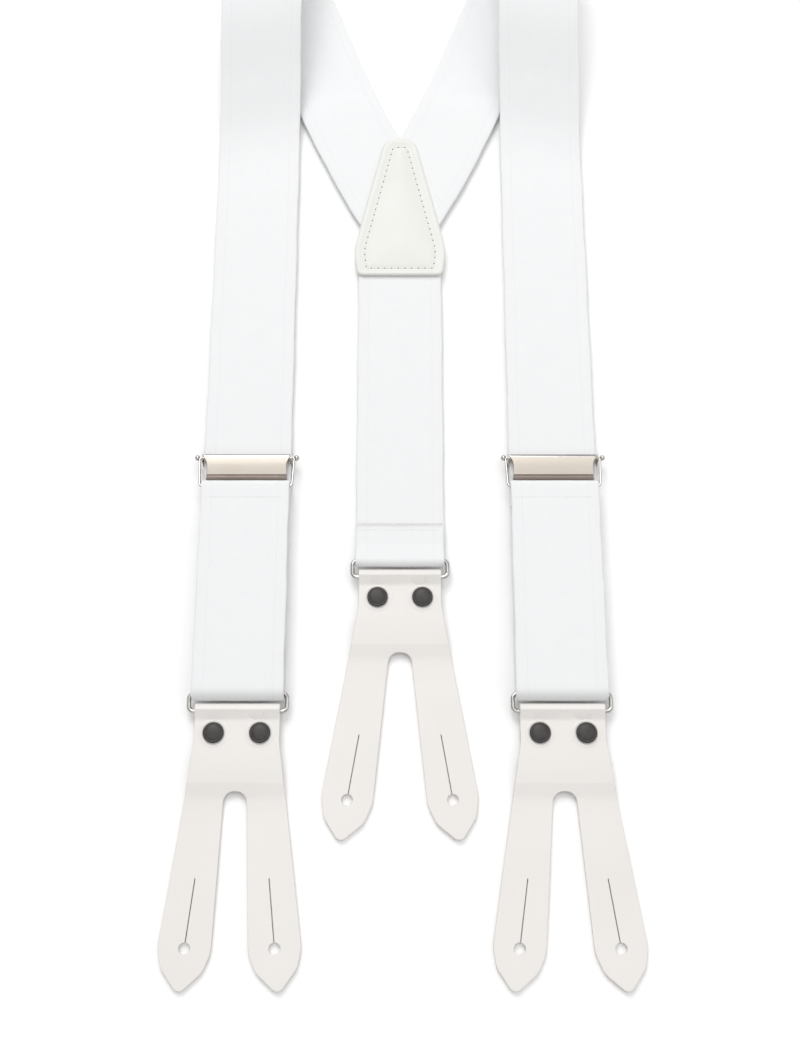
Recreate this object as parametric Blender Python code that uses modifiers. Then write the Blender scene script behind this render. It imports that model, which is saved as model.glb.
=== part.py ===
"""Y-back button suspenders, laid flat on a table with their shoulder folds standing up.

Two elastic straps run from a leather patch, over the shoulders and down the front, where each passes
through a clamp adjuster and round a wire ring. A third strap runs down the back. Each ring carries a
forked leather tab with two keyhole buttonholes. Metres, +Z up, the tabs towards -Y.
"""
import math

import bmesh
import bpy
from mathutils import Matrix, Vector

MM = 0.001

# Clearances
TOUCH_GAP = 0.3 * MM            # between pieces that lie against or are cut by each other
RUNNING_GAP = 0.15 * MM         # between a wire and what turns on it

# Webbing
WEBBING_WIDTH = 35.0 * MM
WEBBING_THICKNESS = 1.5 * MM
STRAP_SPACING = 123.0 * MM      # between the middles of the two front straps

# Leather
TAB_THICKNESS = 1.8 * MM
PATCH_LEATHER = 1.3 * MM

# Rings
RING_WIRE = 1.7 * MM
RING_SIDE_GAP = 0.3 * MM        # between the webbing's edge and the ring's end
RING_BAR_SPACING = 6.8 * MM     # between the middles of the two long bars
RING_CORNER = 1.4 * MM
RING_HEIGHT = 3.9 * MM          # of the ring's plane over the table

# Places along Y, before the whole is centred on its own box
FRONT_RING_Y = -70.6 * MM       # the bar that the webbing goes round
BACK_RING_Y = -17.2 * MM
ADJUSTER_PIN_Y = 25.8 * MM
STRAP_JOIN_Y = ADJUSTER_PIN_Y - 4.0 * MM  # where the strap meets its adjustable length
PATCH_BOTTOM_Y = 110.0 * MM
BACK_STRETCH_Y = 18.0 * MM      # where the back strap meets its sewn end

# Loop of webbing under an adjuster
LOOP_FOLD_RADIUS = 3.6 * MM     # to the middle of the webbing, round the ring
LOOP_SETTLES = (24.0 * MM, 8.0 * MM)  # where the lower layer comes down to the ring, past the fold
RING_SEAT_OFFSET = (-1.3 * MM, -1.05 * MM)  # from the fold's axis to the bar, along Y and Z

# Adjuster
FRAME_WIRE = 1.2 * MM
FRAME_SIDE_GAP = 0.2 * MM       # between the plate's ears and the frame's legs
FRAME_BALL_RADIUS = 1.1 * MM
FRAME_LENGTH = 12.8 * MM        # from the pin bar to the bar that holds the webbing
COVER_SHEET = 0.8 * MM
COVER_TAPER = 1.3 * MM          # how much narrower each side is at the toothed edge
COVER_LENGTH = 9.2 * MM
PLATE_SHEET = 0.8 * MM
PLATE_LENGTH = 12.0 * MM
EAR_SHEET = 0.4 * MM
EAR_LENGTH = 3.4 * MM
FRONT_HEM_TAIL = 8.0 * MM       # webbing turned under the frame's lower bar

# Back hem
BACK_HEM_TAIL = 15.0 * MM

# Tabs
TAB_LENGTH = 105.5 * MM         # from the rolled top to the leg tips
TAB_NARROWER = 2.8 * MM         # than the webbing, at the rolled top
TAB_FLAP = 17.0 * MM            # turned behind, from the ring's bar
CROTCH_DEPTH = 33.0 * MM        # from the rolled top
CROTCH_RADIUS = 4.2 * MM
LEG_ROOT_X = 10.2 * MM
LEG_HALF_WIDTH = 9.7 * MM
HOLE_DEPTH = 89.5 * MM          # from the rolled top to the buttonhole
HOLE_DIAMETER = 4.2 * MM
SLIT_LENGTH = 25.0 * MM
SLIT_WIDTH = 0.8 * MM
TIP_SPACING = {"left": 36.0 * MM, "right": 41.3 * MM, "back": 45.0 * MM}

# Rivets
RIVET_DEPTH = 11.5 * MM         # from the tab's rolled top
RIVET_SPACING = 17.5 * MM
RIVET_CAP_RADIUS = 4.0 * MM
RIVET_CAP_HEIGHT = 1.5 * MM
RIVET_TUBE_RADIUS = 1.4 * MM
RIVET_TUBE_WALL = 0.3 * MM
RIVET_BASE_HEIGHT = 0.65 * MM

# Patch: its length, and its widths from the top down
PATCH_LENGTH = 67.6 * MM
PATCH_TOP_WIDTH = 12.8 * MM
PATCH_BORDER = 2.15 * MM        # past each edge of the back strap, where the patch is widest
PATCH_FOOT_BORDER = 0.6 * MM    # and at its bottom edge
PATCH_WIDEST_AT = 12.0 * MM     # over its bottom edge
STRAP_BUTT_AT = 20.0 * MM       # where the arms end and the back strap begins

# Shoulder fold
ARMS_CROSS_AT = 17.4 * MM       # under the patch's bottom edge, where the arms' middles would cross
FOLD_CREST_Z = 31.0 * MM
FOLD_CREST_Y = 258.0 * MM
ARM_TURN = math.radians(11.0)   # the arm bends sideways by this much on its way to the patch
ARM_TURN_LENGTH = 80.0 * MM     # over this much of its end
ROW_SPACING = 5.0 * MM          # between the rows of points along a shoulder strap

# Values that follow from the above
WIRE_RADIUS = RING_WIRE / 2
WEBBING_ROUND_WIRE = WIRE_RADIUS + TOUCH_GAP + WEBBING_THICKNESS / 2
LEATHER_ROUND_WIRE = WIRE_RADIUS + TOUCH_GAP + TAB_THICKNESS / 2
LOOP_AXIS_Z = RING_HEIGHT - RING_SEAT_OFFSET[1]
TAB_WIDTH = WEBBING_WIDTH - TAB_NARROWER
PATCH_BEST_WIDTH = WEBBING_WIDTH + 2 * PATCH_BORDER
PATCH_FOOT_WIDTH = WEBBING_WIDTH + 2 * PATCH_FOOT_BORDER
FOLD_TILT = math.atan2(STRAP_SPACING / 2, FOLD_CREST_Y - PATCH_BOTTOM_Y + ARMS_CROSS_AT) / 2
EAR_INSIDE = WEBBING_WIDTH / 2 + TOUCH_GAP
EAR_OUTSIDE = EAR_INSIDE + EAR_SHEET
FRAME_LEG_X = EAR_OUTSIDE + FRAME_SIDE_GAP + FRAME_WIRE / 2
FRAME_BALL_X = FRAME_LEG_X + 0.8 * FRAME_BALL_RADIUS
UPPER_LAYER_Z = LOOP_AXIS_Z + LOOP_FOLD_RADIUS
LOWER_LAYER_Z = LOOP_AXIS_Z - LOOP_FOLD_RADIUS
WEB_IN_PATCH_Z = PATCH_LEATHER + TOUCH_GAP + WEBBING_THICKNESS / 2
RUNNING_STRAP_Z = 2.85 * MM     # the strap where it runs through the adjuster
STRAP_TOP_Z = RUNNING_STRAP_Z + WEBBING_THICKNESS / 2
ROLL_RADIUS = FRAME_WIRE / 2 + RUNNING_GAP + COVER_SHEET / 2
PIN_Z = STRAP_TOP_Z + TOUCH_GAP + ROLL_RADIUS + COVER_SHEET / 2
HEM_ROUND_BAR = FRAME_WIRE / 2 + TOUCH_GAP + WEBBING_THICKNESS / 2
LOWER_BAR_Z = UPPER_LAYER_Z - HEM_ROUND_BAR
LOWER_BAR_Y = ADJUSTER_PIN_Y - FRAME_LENGTH
SIDES = {"left": -1, "right": 1}


def clear_scene():
    """Removes every object, so that the script can be run again."""
    for old in list(bpy.data.objects):
        bpy.data.objects.remove(old)


def new_collection(name):
    """Adds an empty collection to the scene."""
    made = bpy.data.collections.new(name)
    bpy.context.scene.collection.children.link(made)
    return made


def new_material(name, colour, roughness, metallic=0.0):
    """Makes a plain material for one sub-part."""
    made = bpy.data.materials.new(name)
    made.use_nodes = True
    shader = made.node_tree.nodes["Principled BSDF"]
    shader.inputs["Base Color"].default_value = (*colour, 1.0)
    shader.inputs["Roughness"].default_value = roughness
    shader.inputs["Metallic"].default_value = metallic
    return made


def webbing_material(name):
    """White elastic webbing."""
    return new_material(name, (0.90, 0.91, 0.92), 0.85)


def leather_material(name, colour=(0.88, 0.86, 0.83)):
    """Smooth white leather."""
    return new_material(name, colour, 0.55)


def nickel_material(name):
    """Warm brushed nickel."""
    return new_material(name, (0.72, 0.68, 0.63), 0.3, 1.0)


def enamel_material(name):
    """Black enamelled brass."""
    return new_material(name, (0.035, 0.03, 0.03), 0.35, 0.2)


def place(name, mesh, material, collection, origin=(0.0, 0.0, 0.0)):
    """Makes an object of a mesh given in world points, with its origin where it turns."""
    mesh.name = name
    mesh.transform(Matrix.Translation(-Vector(origin)))
    mesh.materials.clear()
    mesh.materials.append(material)
    made = bpy.data.objects.new(name, mesh)
    made.location = origin
    collection.objects.link(made)
    return made


def arc(centre, radius, start, end, steps):
    """Points of an arc in a plane, with its angles in degrees."""
    points = []
    for i in range(steps + 1):
        angle = math.radians(start + (end - start) * i / steps)
        points.append((centre[0] + radius * math.cos(angle), centre[1] + radius * math.sin(angle)))
    return points


def rounded_outline(corners, steps=5):
    """Rounds each corner (x, y, radius) of a closed outline with an arc."""
    outline = []
    for i, (x, y, radius) in enumerate(corners):
        here = Vector((x, y))
        before = Vector(corners[i - 1][:2]) - here
        after = Vector(corners[(i + 1) % len(corners)][:2]) - here
        half_angle = before.angle(after) / 2
        if radius == 0 or math.pi / 2 - half_angle < 0.01:
            outline.append((x, y))
            continue
        reach = radius / math.tan(half_angle)
        middle = here + (before.normalized() + after.normalized()).normalized() * (radius / math.sin(half_angle))
        first = here + before.normalized() * reach - middle
        last = here + after.normalized() * reach - middle
        turn = first.angle_signed(last)
        for k in range(steps + 1):
            spoke = first.copy()
            spoke.rotate(Matrix.Rotation(-turn * k / steps, 2))
            outline.append(tuple(middle + spoke))
    return outline


def flat_plate(outlines, thickness):
    """A flat sheet cut to its outlines, the first outside and the rest holes, as a mesh."""
    curve = bpy.data.curves.new("outline", "CURVE")
    curve.dimensions = "2D"
    curve.fill_mode = "BOTH"
    curve.extrude = thickness / 2
    for points in outlines:
        spline = curve.splines.new("POLY")
        spline.points.add(len(points) - 1)
        for point, (x, y) in zip(spline.points, points):
            point.co = (x, y, 0.0, 1.0)
        spline.use_cyclic_u = True
    return curve_to_mesh(curve)


def wire_curve(points, radius, cyclic, resolution=2):
    """A round wire along points, as a curve."""
    curve = bpy.data.curves.new("wire", "CURVE")
    curve.dimensions = "3D"
    curve.bevel_depth = radius
    curve.bevel_resolution = resolution
    curve.use_fill_caps = not cyclic
    spline = curve.splines.new("POLY")
    spline.points.add(len(points) - 1)
    for point, place_at in zip(spline.points, points):
        point.co = (*place_at, 1.0)
    spline.use_cyclic_u = cyclic
    return curve


def curve_to_mesh(curve):
    """Makes a curve a closed mesh, its caps welded."""
    holder = bpy.data.objects.new("curve", curve)
    bpy.context.scene.collection.objects.link(holder)
    bpy.context.view_layer.update()
    evaluated = holder.evaluated_get(bpy.context.evaluated_depsgraph_get())
    mesh = bpy.data.meshes.new_from_object(evaluated)
    bpy.data.objects.remove(holder)
    shape = bmesh.new()
    shape.from_mesh(mesh)
    bmesh.ops.remove_doubles(shape, verts=shape.verts, dist=0.001 * MM)
    bmesh.ops.recalc_face_normals(shape, faces=shape.faces)
    shape.to_mesh(mesh)
    shape.free()
    return mesh


def strip(name, rows, thickness, material, collection, origin=(0.0, 0.0, 0.0)):
    """A band through rows of two edge points each, given its thickness about its middle."""
    shape = bmesh.new()
    before = None
    for left, right in rows:
        pair = (shape.verts.new(left), shape.verts.new(right))
        if before:
            shape.faces.new((before[0], before[1], pair[1], pair[0]))
        before = pair
    mesh = bpy.data.meshes.new(name)
    shape.to_mesh(mesh)
    shape.free()
    made = place(name, mesh, material, collection, origin)
    wall = made.modifiers.new("thickness", "SOLIDIFY")
    wall.thickness = thickness
    wall.offset = 0.0
    wall.use_even_offset = True
    return made


def straight_rows(profile, middle_x, half_width):
    """Rows of a band that runs straight along X, over a profile of (y, z) points."""
    rows = []
    for y, z in profile:
        rows.append(((middle_x - half_width, y, z), (middle_x + half_width, y, z)))
    return rows


def cut_away(target, cutter_mesh, name, cutters, operation="DIFFERENCE"):
    """Cuts or joins a closed mesh on a target with a Boolean."""
    cutter = bpy.data.objects.new(name, cutter_mesh)
    cutter.hide_render = True
    cutter.display_type = "WIRE"
    cutters.objects.link(cutter)
    cut = target.modifiers.new(name, "BOOLEAN")
    cut.operation = operation
    cut.object = cutter
    return cutter


def box_mesh(low, high):
    """A box between two corners."""
    shape = bmesh.new()
    bmesh.ops.create_cube(shape, size=1.0)
    size = Vector(high) - Vector(low)
    middle = (Vector(high) + Vector(low)) / 2
    bmesh.ops.transform(shape, matrix=Matrix.Translation(middle) @ Matrix.Diagonal((*size, 1.0)), verts=shape.verts)
    mesh = bpy.data.meshes.new("box")
    shape.to_mesh(mesh)
    shape.free()
    return mesh


def ball_mesh(centre, radius):
    """A ball."""
    shape = bmesh.new()
    at = Matrix.Translation(centre)
    bmesh.ops.create_uvsphere(shape, u_segments=12, v_segments=8, radius=radius, matrix=at)
    mesh = bpy.data.meshes.new("ball")
    shape.to_mesh(mesh)
    shape.free()
    return mesh


def rod_mesh(centre, radius, length):
    """A round rod along X."""
    shape = bmesh.new()
    at = Matrix.Translation(centre) @ Matrix.Rotation(math.pi / 2, 4, "Y")
    bmesh.ops.create_cone(shape, cap_ends=True, segments=16, radius1=radius, radius2=radius, depth=length, matrix=at)
    mesh = bpy.data.meshes.new("rod")
    shape.to_mesh(mesh)
    shape.free()
    return mesh


def turned(name, profile, centre, material, collection, steps=14):
    """A turned piece: a profile of (radius, z) points, from the top down its outer side."""
    shape = bmesh.new()
    before = None
    for radius, z in profile:
        here = shape.verts.new((radius, 0.0, z))
        if before:
            shape.edges.new((before, here))
        before = here
    mesh = bpy.data.meshes.new(name)
    shape.to_mesh(mesh)
    shape.free()
    made = place(name, mesh, material, collection)
    made.location = centre
    turn = made.modifiers.new("turn", "SCREW")
    turn.steps = steps
    turn.render_steps = steps
    turn.use_merge_vertices = True
    turn.merge_threshold = 0.001 * MM
    turn.use_smooth_shade = True
    return made


class Path:
    """A line of straight pieces in a plane, measured along itself."""

    def __init__(self, points):
        self.points = [Vector(p) for p in points]
        self.at = [0.0]
        for a, b in zip(self.points, self.points[1:]):
            self.at.append(self.at[-1] + (b - a).length)

    def segment(self, s):
        """The number of the straight piece that holds a distance."""
        for i in range(len(self.at) - 2):
            if s < self.at[i + 1]:
                return i
        return len(self.at) - 2

    def direction(self, i):
        """The way that a straight piece runs."""
        return (self.points[i + 1] - self.points[i]).normalized()

    def point(self, s, offset=0.0):
        """The point at a distance, moved sideways by an offset, with mitred corners."""
        i = self.segment(s)
        run = self.direction(i)
        side = Vector((-run.y, run.x))
        for k, corner in enumerate(self.at[1:-1], start=1):
            if abs(s - corner) < 0.002 * MM:
                side_a = Vector((-self.direction(k - 1).y, self.direction(k - 1).x))
                side_b = Vector((-self.direction(k).y, self.direction(k).x))
                mitre = (side_a + side_b).normalized()
                return self.points[k] + mitre * (offset / mitre.dot(side_a))
        return self.points[i] + run * (s - self.at[i]) + side * offset

    @property
    def length(self):
        """The whole length."""
        return self.at[-1]


def fold_flat_piece(mesh, path, middle_x):
    """Bends a flat piece, drawn along +Y from 0, so that it follows a path of (y, z) points."""
    shape = bmesh.new()
    shape.from_mesh(mesh)
    for s in path.at[1:-1]:
        everything = shape.verts[:] + shape.edges[:] + shape.faces[:]
        bmesh.ops.bisect_plane(shape, geom=everything, plane_co=(0, s, 0), plane_no=(0, 1, 0), dist=0.0005 * MM)
    for v in shape.verts:
        y, z = path.point(v.co.y, v.co.z)
        v.co = (middle_x + v.co.x, y, z)
    shape.to_mesh(mesh)
    shape.free()
    return mesh


# ---------------------------------------------------------------- patch and straps

def patch_outline():
    """The patch's drop shape, narrow at the top."""
    bottom = PATCH_BOTTOM_Y
    widest = bottom + PATCH_WIDEST_AT
    top = bottom + PATCH_LENGTH
    right = [
        (PATCH_FOOT_WIDTH / 2, bottom, 3.0 * MM),
        (PATCH_BEST_WIDTH / 2, widest, 24.0 * MM),
        (PATCH_TOP_WIDTH / 2, top, 5.0 * MM),
    ]
    left = [(-x, y, radius) for x, y, radius in reversed(right)]
    return rounded_outline(right + left)


def build_patch(parts):
    """Two layers of leather, with the three straps sewn between them."""
    inner = flat_plate([patch_outline()], PATCH_LEATHER)
    inner.transform(Matrix.Translation((0, 0, PATCH_LEATHER / 2)))
    place("patch_inner", inner, leather_material("patch_inner_leather"), parts)
    outer = flat_plate([patch_outline()], PATCH_LEATHER)
    outer_z = WEB_IN_PATCH_Z + WEBBING_THICKNESS / 2 + TOUCH_GAP + PATCH_LEATHER / 2
    outer.transform(Matrix.Translation((0, 0, outer_z)))
    place("patch_outer", outer, leather_material("patch_outer_leather", (0.91, 0.91, 0.87)), parts)


def smooth_points(points, spacing):
    """Points at an even spacing along a smooth curve through the given ones."""
    fine = []
    padded = [points[0]] + list(points) + [points[-1]]
    for i in range(1, len(padded) - 2):
        p0, p1, p2, p3 = (Vector(p) for p in padded[i - 1:i + 3])
        for k in range(16):
            t = k / 16
            fine.append(
                0.5 * (2 * p1 + (p2 - p0) * t + (2 * p0 - 5 * p1 + 4 * p2 - p3) * t * t
                       + (3 * p1 - p0 - 3 * p2 + p3) * t ** 3)
            )
    fine.append(Vector(points[-1]))
    path = Path(fine)
    count = max(2, round(path.length / spacing))
    return [path.point(path.length * i / count) for i in range(count + 1)]


def shoulder_profile():
    """The strap seen from the side, from the front, over the shoulder and back to the patch."""
    crest = FOLD_CREST_Y
    table = WEBBING_THICKNESS / 2 + TOUCH_GAP
    fold_radius = (FOLD_CREST_Z - table) / 2
    front = [
        (STRAP_JOIN_Y, RUNNING_STRAP_Z),
        (crest - 120 * MM, RUNNING_STRAP_Z),
        (crest - 84 * MM, RUNNING_STRAP_Z + 0.02 * FOLD_CREST_Z),
        (crest - 58 * MM, 0.37 * FOLD_CREST_Z),
        (crest - 30 * MM, 0.77 * FOLD_CREST_Z),
    ]
    fold = arc((crest, table + fold_radius), fold_radius, 90, -90, 8)
    back = [
        (crest - 30 * MM, table),
        (crest - 60 * MM, table),
        (PATCH_BOTTOM_Y + PATCH_LENGTH, WEB_IN_PATCH_Z),
        (PATCH_BOTTOM_Y - 10 * MM, WEB_IN_PATCH_Z),
    ]
    return front + fold + back


def shoulder_rows(side):
    """Edge points of a shoulder strap, laid on a bent sheet whose straight lines are tilted."""
    sheet = Path(smooth_points(shoulder_profile(), 3.0 * MM))
    half = WEBBING_WIDTH / 2
    across = Vector((math.cos(FOLD_TILT), -math.sin(FOLD_TILT)))
    along = Vector((math.sin(FOLD_TILT), math.cos(FOLD_TILT)))
    start = Vector((STRAP_SPACING / 2, STRAP_JOIN_Y))
    start_b = start.dot(along)
    at = Vector((start.dot(across), start_b))
    end_b = start_b + sheet.length - PATCH_BEST_WIDTH / 2
    heading = FOLD_TILT
    rows = []
    while at.y < end_b:
        run = Vector((-math.sin(heading), math.cos(heading)))
        edge = Vector((run.y, -run.x)) * half
        row = []
        for corner in (at - edge, at + edge):
            y, z = sheet_point(sheet, corner.y - start_b)
            plan = across * corner.x + along * (y - STRAP_JOIN_Y + start_b)
            row.append((side * plan.x, plan.y, z))
        rows.append(tuple(row))
        at = at + run * ROW_SPACING
        turned_part = 1 - (end_b - at.y) / ARM_TURN_LENGTH
        heading = FOLD_TILT + ARM_TURN * max(0.0, turned_part)
    return rows


def sheet_point(sheet, s):
    """A point of the bent sheet, which runs on level before its start."""
    if s < 0:
        return Vector((STRAP_JOIN_Y + s, RUNNING_STRAP_Z))
    return sheet.point(min(s, sheet.length))


def build_shoulder_strap(side_name, parts, cutters):
    """One strap from the patch, over the shoulder and down the front to its adjustable loop."""
    side = SIDES[side_name]
    name = f"shoulder_strap_{side_name}"
    strap = strip(name, shoulder_rows(side), WEBBING_THICKNESS, webbing_material(f"{name}_webbing"), parts)
    clear_of_fronts = (STRAP_SPACING - WEBBING_WIDTH) / 2 - 5 * MM
    butt_y = PATCH_BOTTOM_Y + STRAP_BUTT_AT
    depth = 20 * MM
    butt = box_mesh((-clear_of_fronts, butt_y - 80 * MM, -depth), (clear_of_fronts, butt_y, depth))
    cut_away(strap, butt, f"{name}_butt_cutter", cutters)
    meet = side * TOUCH_GAP / 2
    xs = sorted((meet, -side * 2 * STRAP_SPACING))
    mitre = box_mesh((xs[0], butt_y - 90 * MM, -depth), (xs[1], butt_y + 150 * MM, depth))
    cut_away(strap, mitre, f"{name}_mitre_cutter", cutters)


def build_back_strap(parts):
    """The back strap from the patch down to its sewn end, in two lengths that stretch apart."""
    half = WEBBING_WIDTH / 2
    lower_z = RING_HEIGHT - WEBBING_ROUND_WIRE
    top_y = PATCH_BOTTOM_Y + STRAP_BUTT_AT - TOUCH_GAP
    upper = [
        (top_y, WEB_IN_PATCH_Z),
        (PATCH_BOTTOM_Y - 12 * MM, WEB_IN_PATCH_Z),
        (BACK_STRETCH_Y + 20 * MM, lower_z),
        (BACK_STRETCH_Y + TOUCH_GAP, lower_z),
    ]
    strip("back_strap", straight_rows(upper, 0.0, half), WEBBING_THICKNESS, webbing_material("back_strap_webbing"), parts)
    tail_z = lower_z + WEBBING_THICKNESS + TOUCH_GAP
    hem = [(BACK_STRETCH_Y, lower_z)]
    hem += arc((BACK_RING_Y, RING_HEIGHT), WEBBING_ROUND_WIRE, -90, -270, 10)
    hem += [(BACK_RING_Y + 6 * MM, tail_z), (BACK_RING_Y + BACK_HEM_TAIL, tail_z)]
    name = "back_strap_hem"
    strip(name, straight_rows(hem, 0.0, half), WEBBING_THICKNESS, webbing_material(f"{name}_webbing"), parts)


# ---------------------------------------------------------------- adjustable loop and adjuster

def build_loop(side_name, parts):
    """The running layer under the adjuster, and the layer that comes back up from the ring."""
    middle = SIDES[side_name] * STRAP_SPACING / 2
    half = WEBBING_WIDTH / 2
    fold_y = FRONT_RING_Y - RING_SEAT_OFFSET[0]
    rear = [
        (STRAP_JOIN_Y - TOUCH_GAP, RUNNING_STRAP_Z),
        (fold_y + LOOP_SETTLES[0], RUNNING_STRAP_Z),
        (fold_y + LOOP_SETTLES[1], LOWER_LAYER_Z),
        (fold_y + TOUCH_GAP, LOWER_LAYER_Z),
    ]
    name = f"loop_rear_{side_name}"
    strip(name, straight_rows(rear, middle, half), WEBBING_THICKNESS, webbing_material(f"{name}_webbing"), parts)
    bar = (LOWER_BAR_Y, LOWER_BAR_Z)
    tail_end = LOWER_BAR_Y - FRONT_HEM_TAIL
    front = arc((fold_y, LOOP_AXIS_Z), LOOP_FOLD_RADIUS, -90, -270, 12)
    front += arc(bar, HEM_ROUND_BAR, 90, -90, 10)
    front += [(tail_end, LOWER_BAR_Z - HEM_ROUND_BAR)]
    name = f"loop_front_{side_name}"
    strip(name, straight_rows(front, middle, half), WEBBING_THICKNESS, webbing_material(f"{name}_webbing"), parts)


def frame_points(middle):
    """The middle line of the adjuster's wire frame, from corner to corner."""
    corner = 0.9 * MM
    flat = rounded_outline(
        [
            (-FRAME_LEG_X, 0.0, corner),
            (-FRAME_LEG_X, -FRAME_LENGTH, corner),
            (FRAME_LEG_X, -FRAME_LENGTH, corner),
            (FRAME_LEG_X, 0.0, corner),
        ],
        3,
    )
    points = []
    for x, y in flat:
        rise = (LOWER_BAR_Z - PIN_Z) * -y / FRAME_LENGTH
        points.append((middle + x, ADJUSTER_PIN_Y + y, PIN_Z + rise))
    return points


def build_adjuster(side_name, parts, cutters):
    """The clamp adjuster: a back plate with ears, a ball-ended wire frame and a toothed cover."""
    middle = SIDES[side_name] * STRAP_SPACING / 2
    frame_name = f"adjuster_frame_{side_name}"
    wire = curve_to_mesh(wire_curve(frame_points(middle), FRAME_WIRE / 2, True))
    frame = place(frame_name, wire, nickel_material(f"{frame_name}_nickel"), parts)
    for way in (-1, 1):
        ball = ball_mesh((middle + way * FRAME_BALL_X, ADJUSTER_PIN_Y, PIN_Z), FRAME_BALL_RADIUS)
        cut_away(frame, ball, f"{frame_name}_ball_{way + 1}", cutters, "UNION")

    plate_name = f"adjuster_plate_{side_name}"
    plate_top = RUNNING_STRAP_Z - WEBBING_THICKNESS / 2 - TOUCH_GAP
    plate_low = plate_top - PLATE_SHEET
    front_y = ADJUSTER_PIN_Y + EAR_LENGTH / 2
    low = (middle - EAR_OUTSIDE, front_y - PLATE_LENGTH, plate_low)
    base = box_mesh(low, (middle + EAR_OUTSIDE, front_y, plate_top))
    plate = place(plate_name, base, nickel_material(f"{plate_name}_nickel"), parts)
    ear_top = PIN_Z + FRAME_WIRE / 2 + RUNNING_GAP + EAR_SHEET
    for way in (-1, 1):
        xs = sorted((middle + way * EAR_INSIDE, middle + way * EAR_OUTSIDE))
        ear = box_mesh((xs[0], front_y - EAR_LENGTH, plate_low + PLATE_SHEET / 2), (xs[1], front_y - 0.01 * MM, ear_top))
        cut_away(plate, ear, f"{plate_name}_ear_{way + 1}", cutters, "UNION")
    bore = rod_mesh((middle, ADJUSTER_PIN_Y, PIN_Z), FRAME_WIRE / 2 + RUNNING_GAP, 3 * FRAME_LEG_X)
    cut_away(plate, bore, f"{plate_name}_bore", cutters)

    cover_name = f"adjuster_cover_{side_name}"
    cover_half = WEBBING_WIDTH / 2 - TOUCH_GAP
    tip_y = ADJUSTER_PIN_Y - COVER_LENGTH
    tooth_z = STRAP_TOP_Z + TOUCH_GAP
    profile = arc((ADJUSTER_PIN_Y, PIN_Z), ROLL_RADIUS, -110, 95, 10)
    profile += [
        (ADJUSTER_PIN_Y - 0.5 * COVER_LENGTH, PIN_Z + 0.7 * ROLL_RADIUS),
        (tip_y + 0.6 * MM, PIN_Z),
        (tip_y, tooth_z),
    ]
    rows = []
    for y, z in profile:
        reach = max(0.0, min(1.0, (ADJUSTER_PIN_Y - y) / COVER_LENGTH))
        half = cover_half - COVER_TAPER * math.sin(reach * math.pi / 2)
        rows.append(((middle - half, y, z), (middle + half, y, z)))
    pin = (middle, ADJUSTER_PIN_Y, PIN_Z)
    strip(cover_name, rows, COVER_SHEET, nickel_material(f"{cover_name}_nickel"), parts, pin)


# ---------------------------------------------------------------- rings, tabs and rivets

def build_ring(which, middle, bar_y, origin, parts):
    """A wire ring with two long bars and rounded ends that pass the webbing's edges."""
    end_x = WEBBING_WIDTH / 2 + RING_SIDE_GAP + WIRE_RADIUS
    far_y = bar_y - RING_BAR_SPACING
    corners = [(end_x, far_y), (end_x, bar_y), (-end_x, bar_y), (-end_x, far_y)]
    flat = rounded_outline([(x, y, RING_CORNER) for x, y in corners], 4)
    points = [(middle + x, y, RING_HEIGHT) for x, y in flat]
    name = f"ring_{which}"
    mesh = curve_to_mesh(wire_curve(points, WIRE_RADIUS, True))
    place(name, mesh, nickel_material(f"{name}_nickel"), parts, origin)


def tab_path(lower_bar_y):
    """The leather seen from the side, from the end of its flap, round the ring's bar, to its tips."""
    flap_z = RING_HEIGHT - LEATHER_ROUND_WIRE
    over_flap_z = flap_z + TAB_THICKNESS + TOUCH_GAP
    flap_end = lower_bar_y - TAB_FLAP
    roll_top = lower_bar_y + LEATHER_ROUND_WIRE + TAB_THICKNESS / 2
    points = [(flap_end, flap_z)]
    points += arc((lower_bar_y, RING_HEIGHT), LEATHER_ROUND_WIRE, -90, 90, 10)
    points += [
        (lower_bar_y - 4.3 * MM, over_flap_z),
        (flap_end - 0.5 * MM, over_flap_z),
        (flap_end - 6.0 * MM, TAB_THICKNESS / 2),
        (roll_top - TAB_LENGTH, TAB_THICKNESS / 2),
    ]
    return Path(points)


def leg_frame(tip_x):
    """One leg's root, its direction and its outward side, in the tab's flat plane, depth downwards."""
    root = Vector((LEG_ROOT_X, CROTCH_DEPTH + 1 * MM))
    tip = Vector((tip_x, TAB_LENGTH))
    run = (tip - root).normalized()
    return root, tip, run, Vector((run.y, -run.x))


def tab_half_corners(tip_x):
    """The corners of a tab's right half, from its top edge to the crotch, as (x, depth, radius)."""
    root, tip, run, out = leg_frame(tip_x)
    wide = root + run * (HOLE_DEPTH - CROTCH_DEPTH)
    narrow = tip - run * 8.5 * MM
    hip = CROTCH_DEPTH * 0.45
    corners = [(TAB_WIDTH / 2, 0.0, 0.0), (TAB_WIDTH / 2, hip, 20 * MM)]
    for point, radius in (
        (wide + out * LEG_HALF_WIDTH, 14 * MM),
        (narrow + out * LEG_HALF_WIDTH * 0.78, 8 * MM),
        (tip, 2.5 * MM),
        (narrow - out * LEG_HALF_WIDTH * 0.78, 8 * MM),
        (wide - out * LEG_HALF_WIDTH, 14 * MM),
    ):
        corners.append((*point, radius))
    corners.append((CROTCH_RADIUS, CROTCH_DEPTH, CROTCH_RADIUS * 0.96))
    return corners


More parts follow.
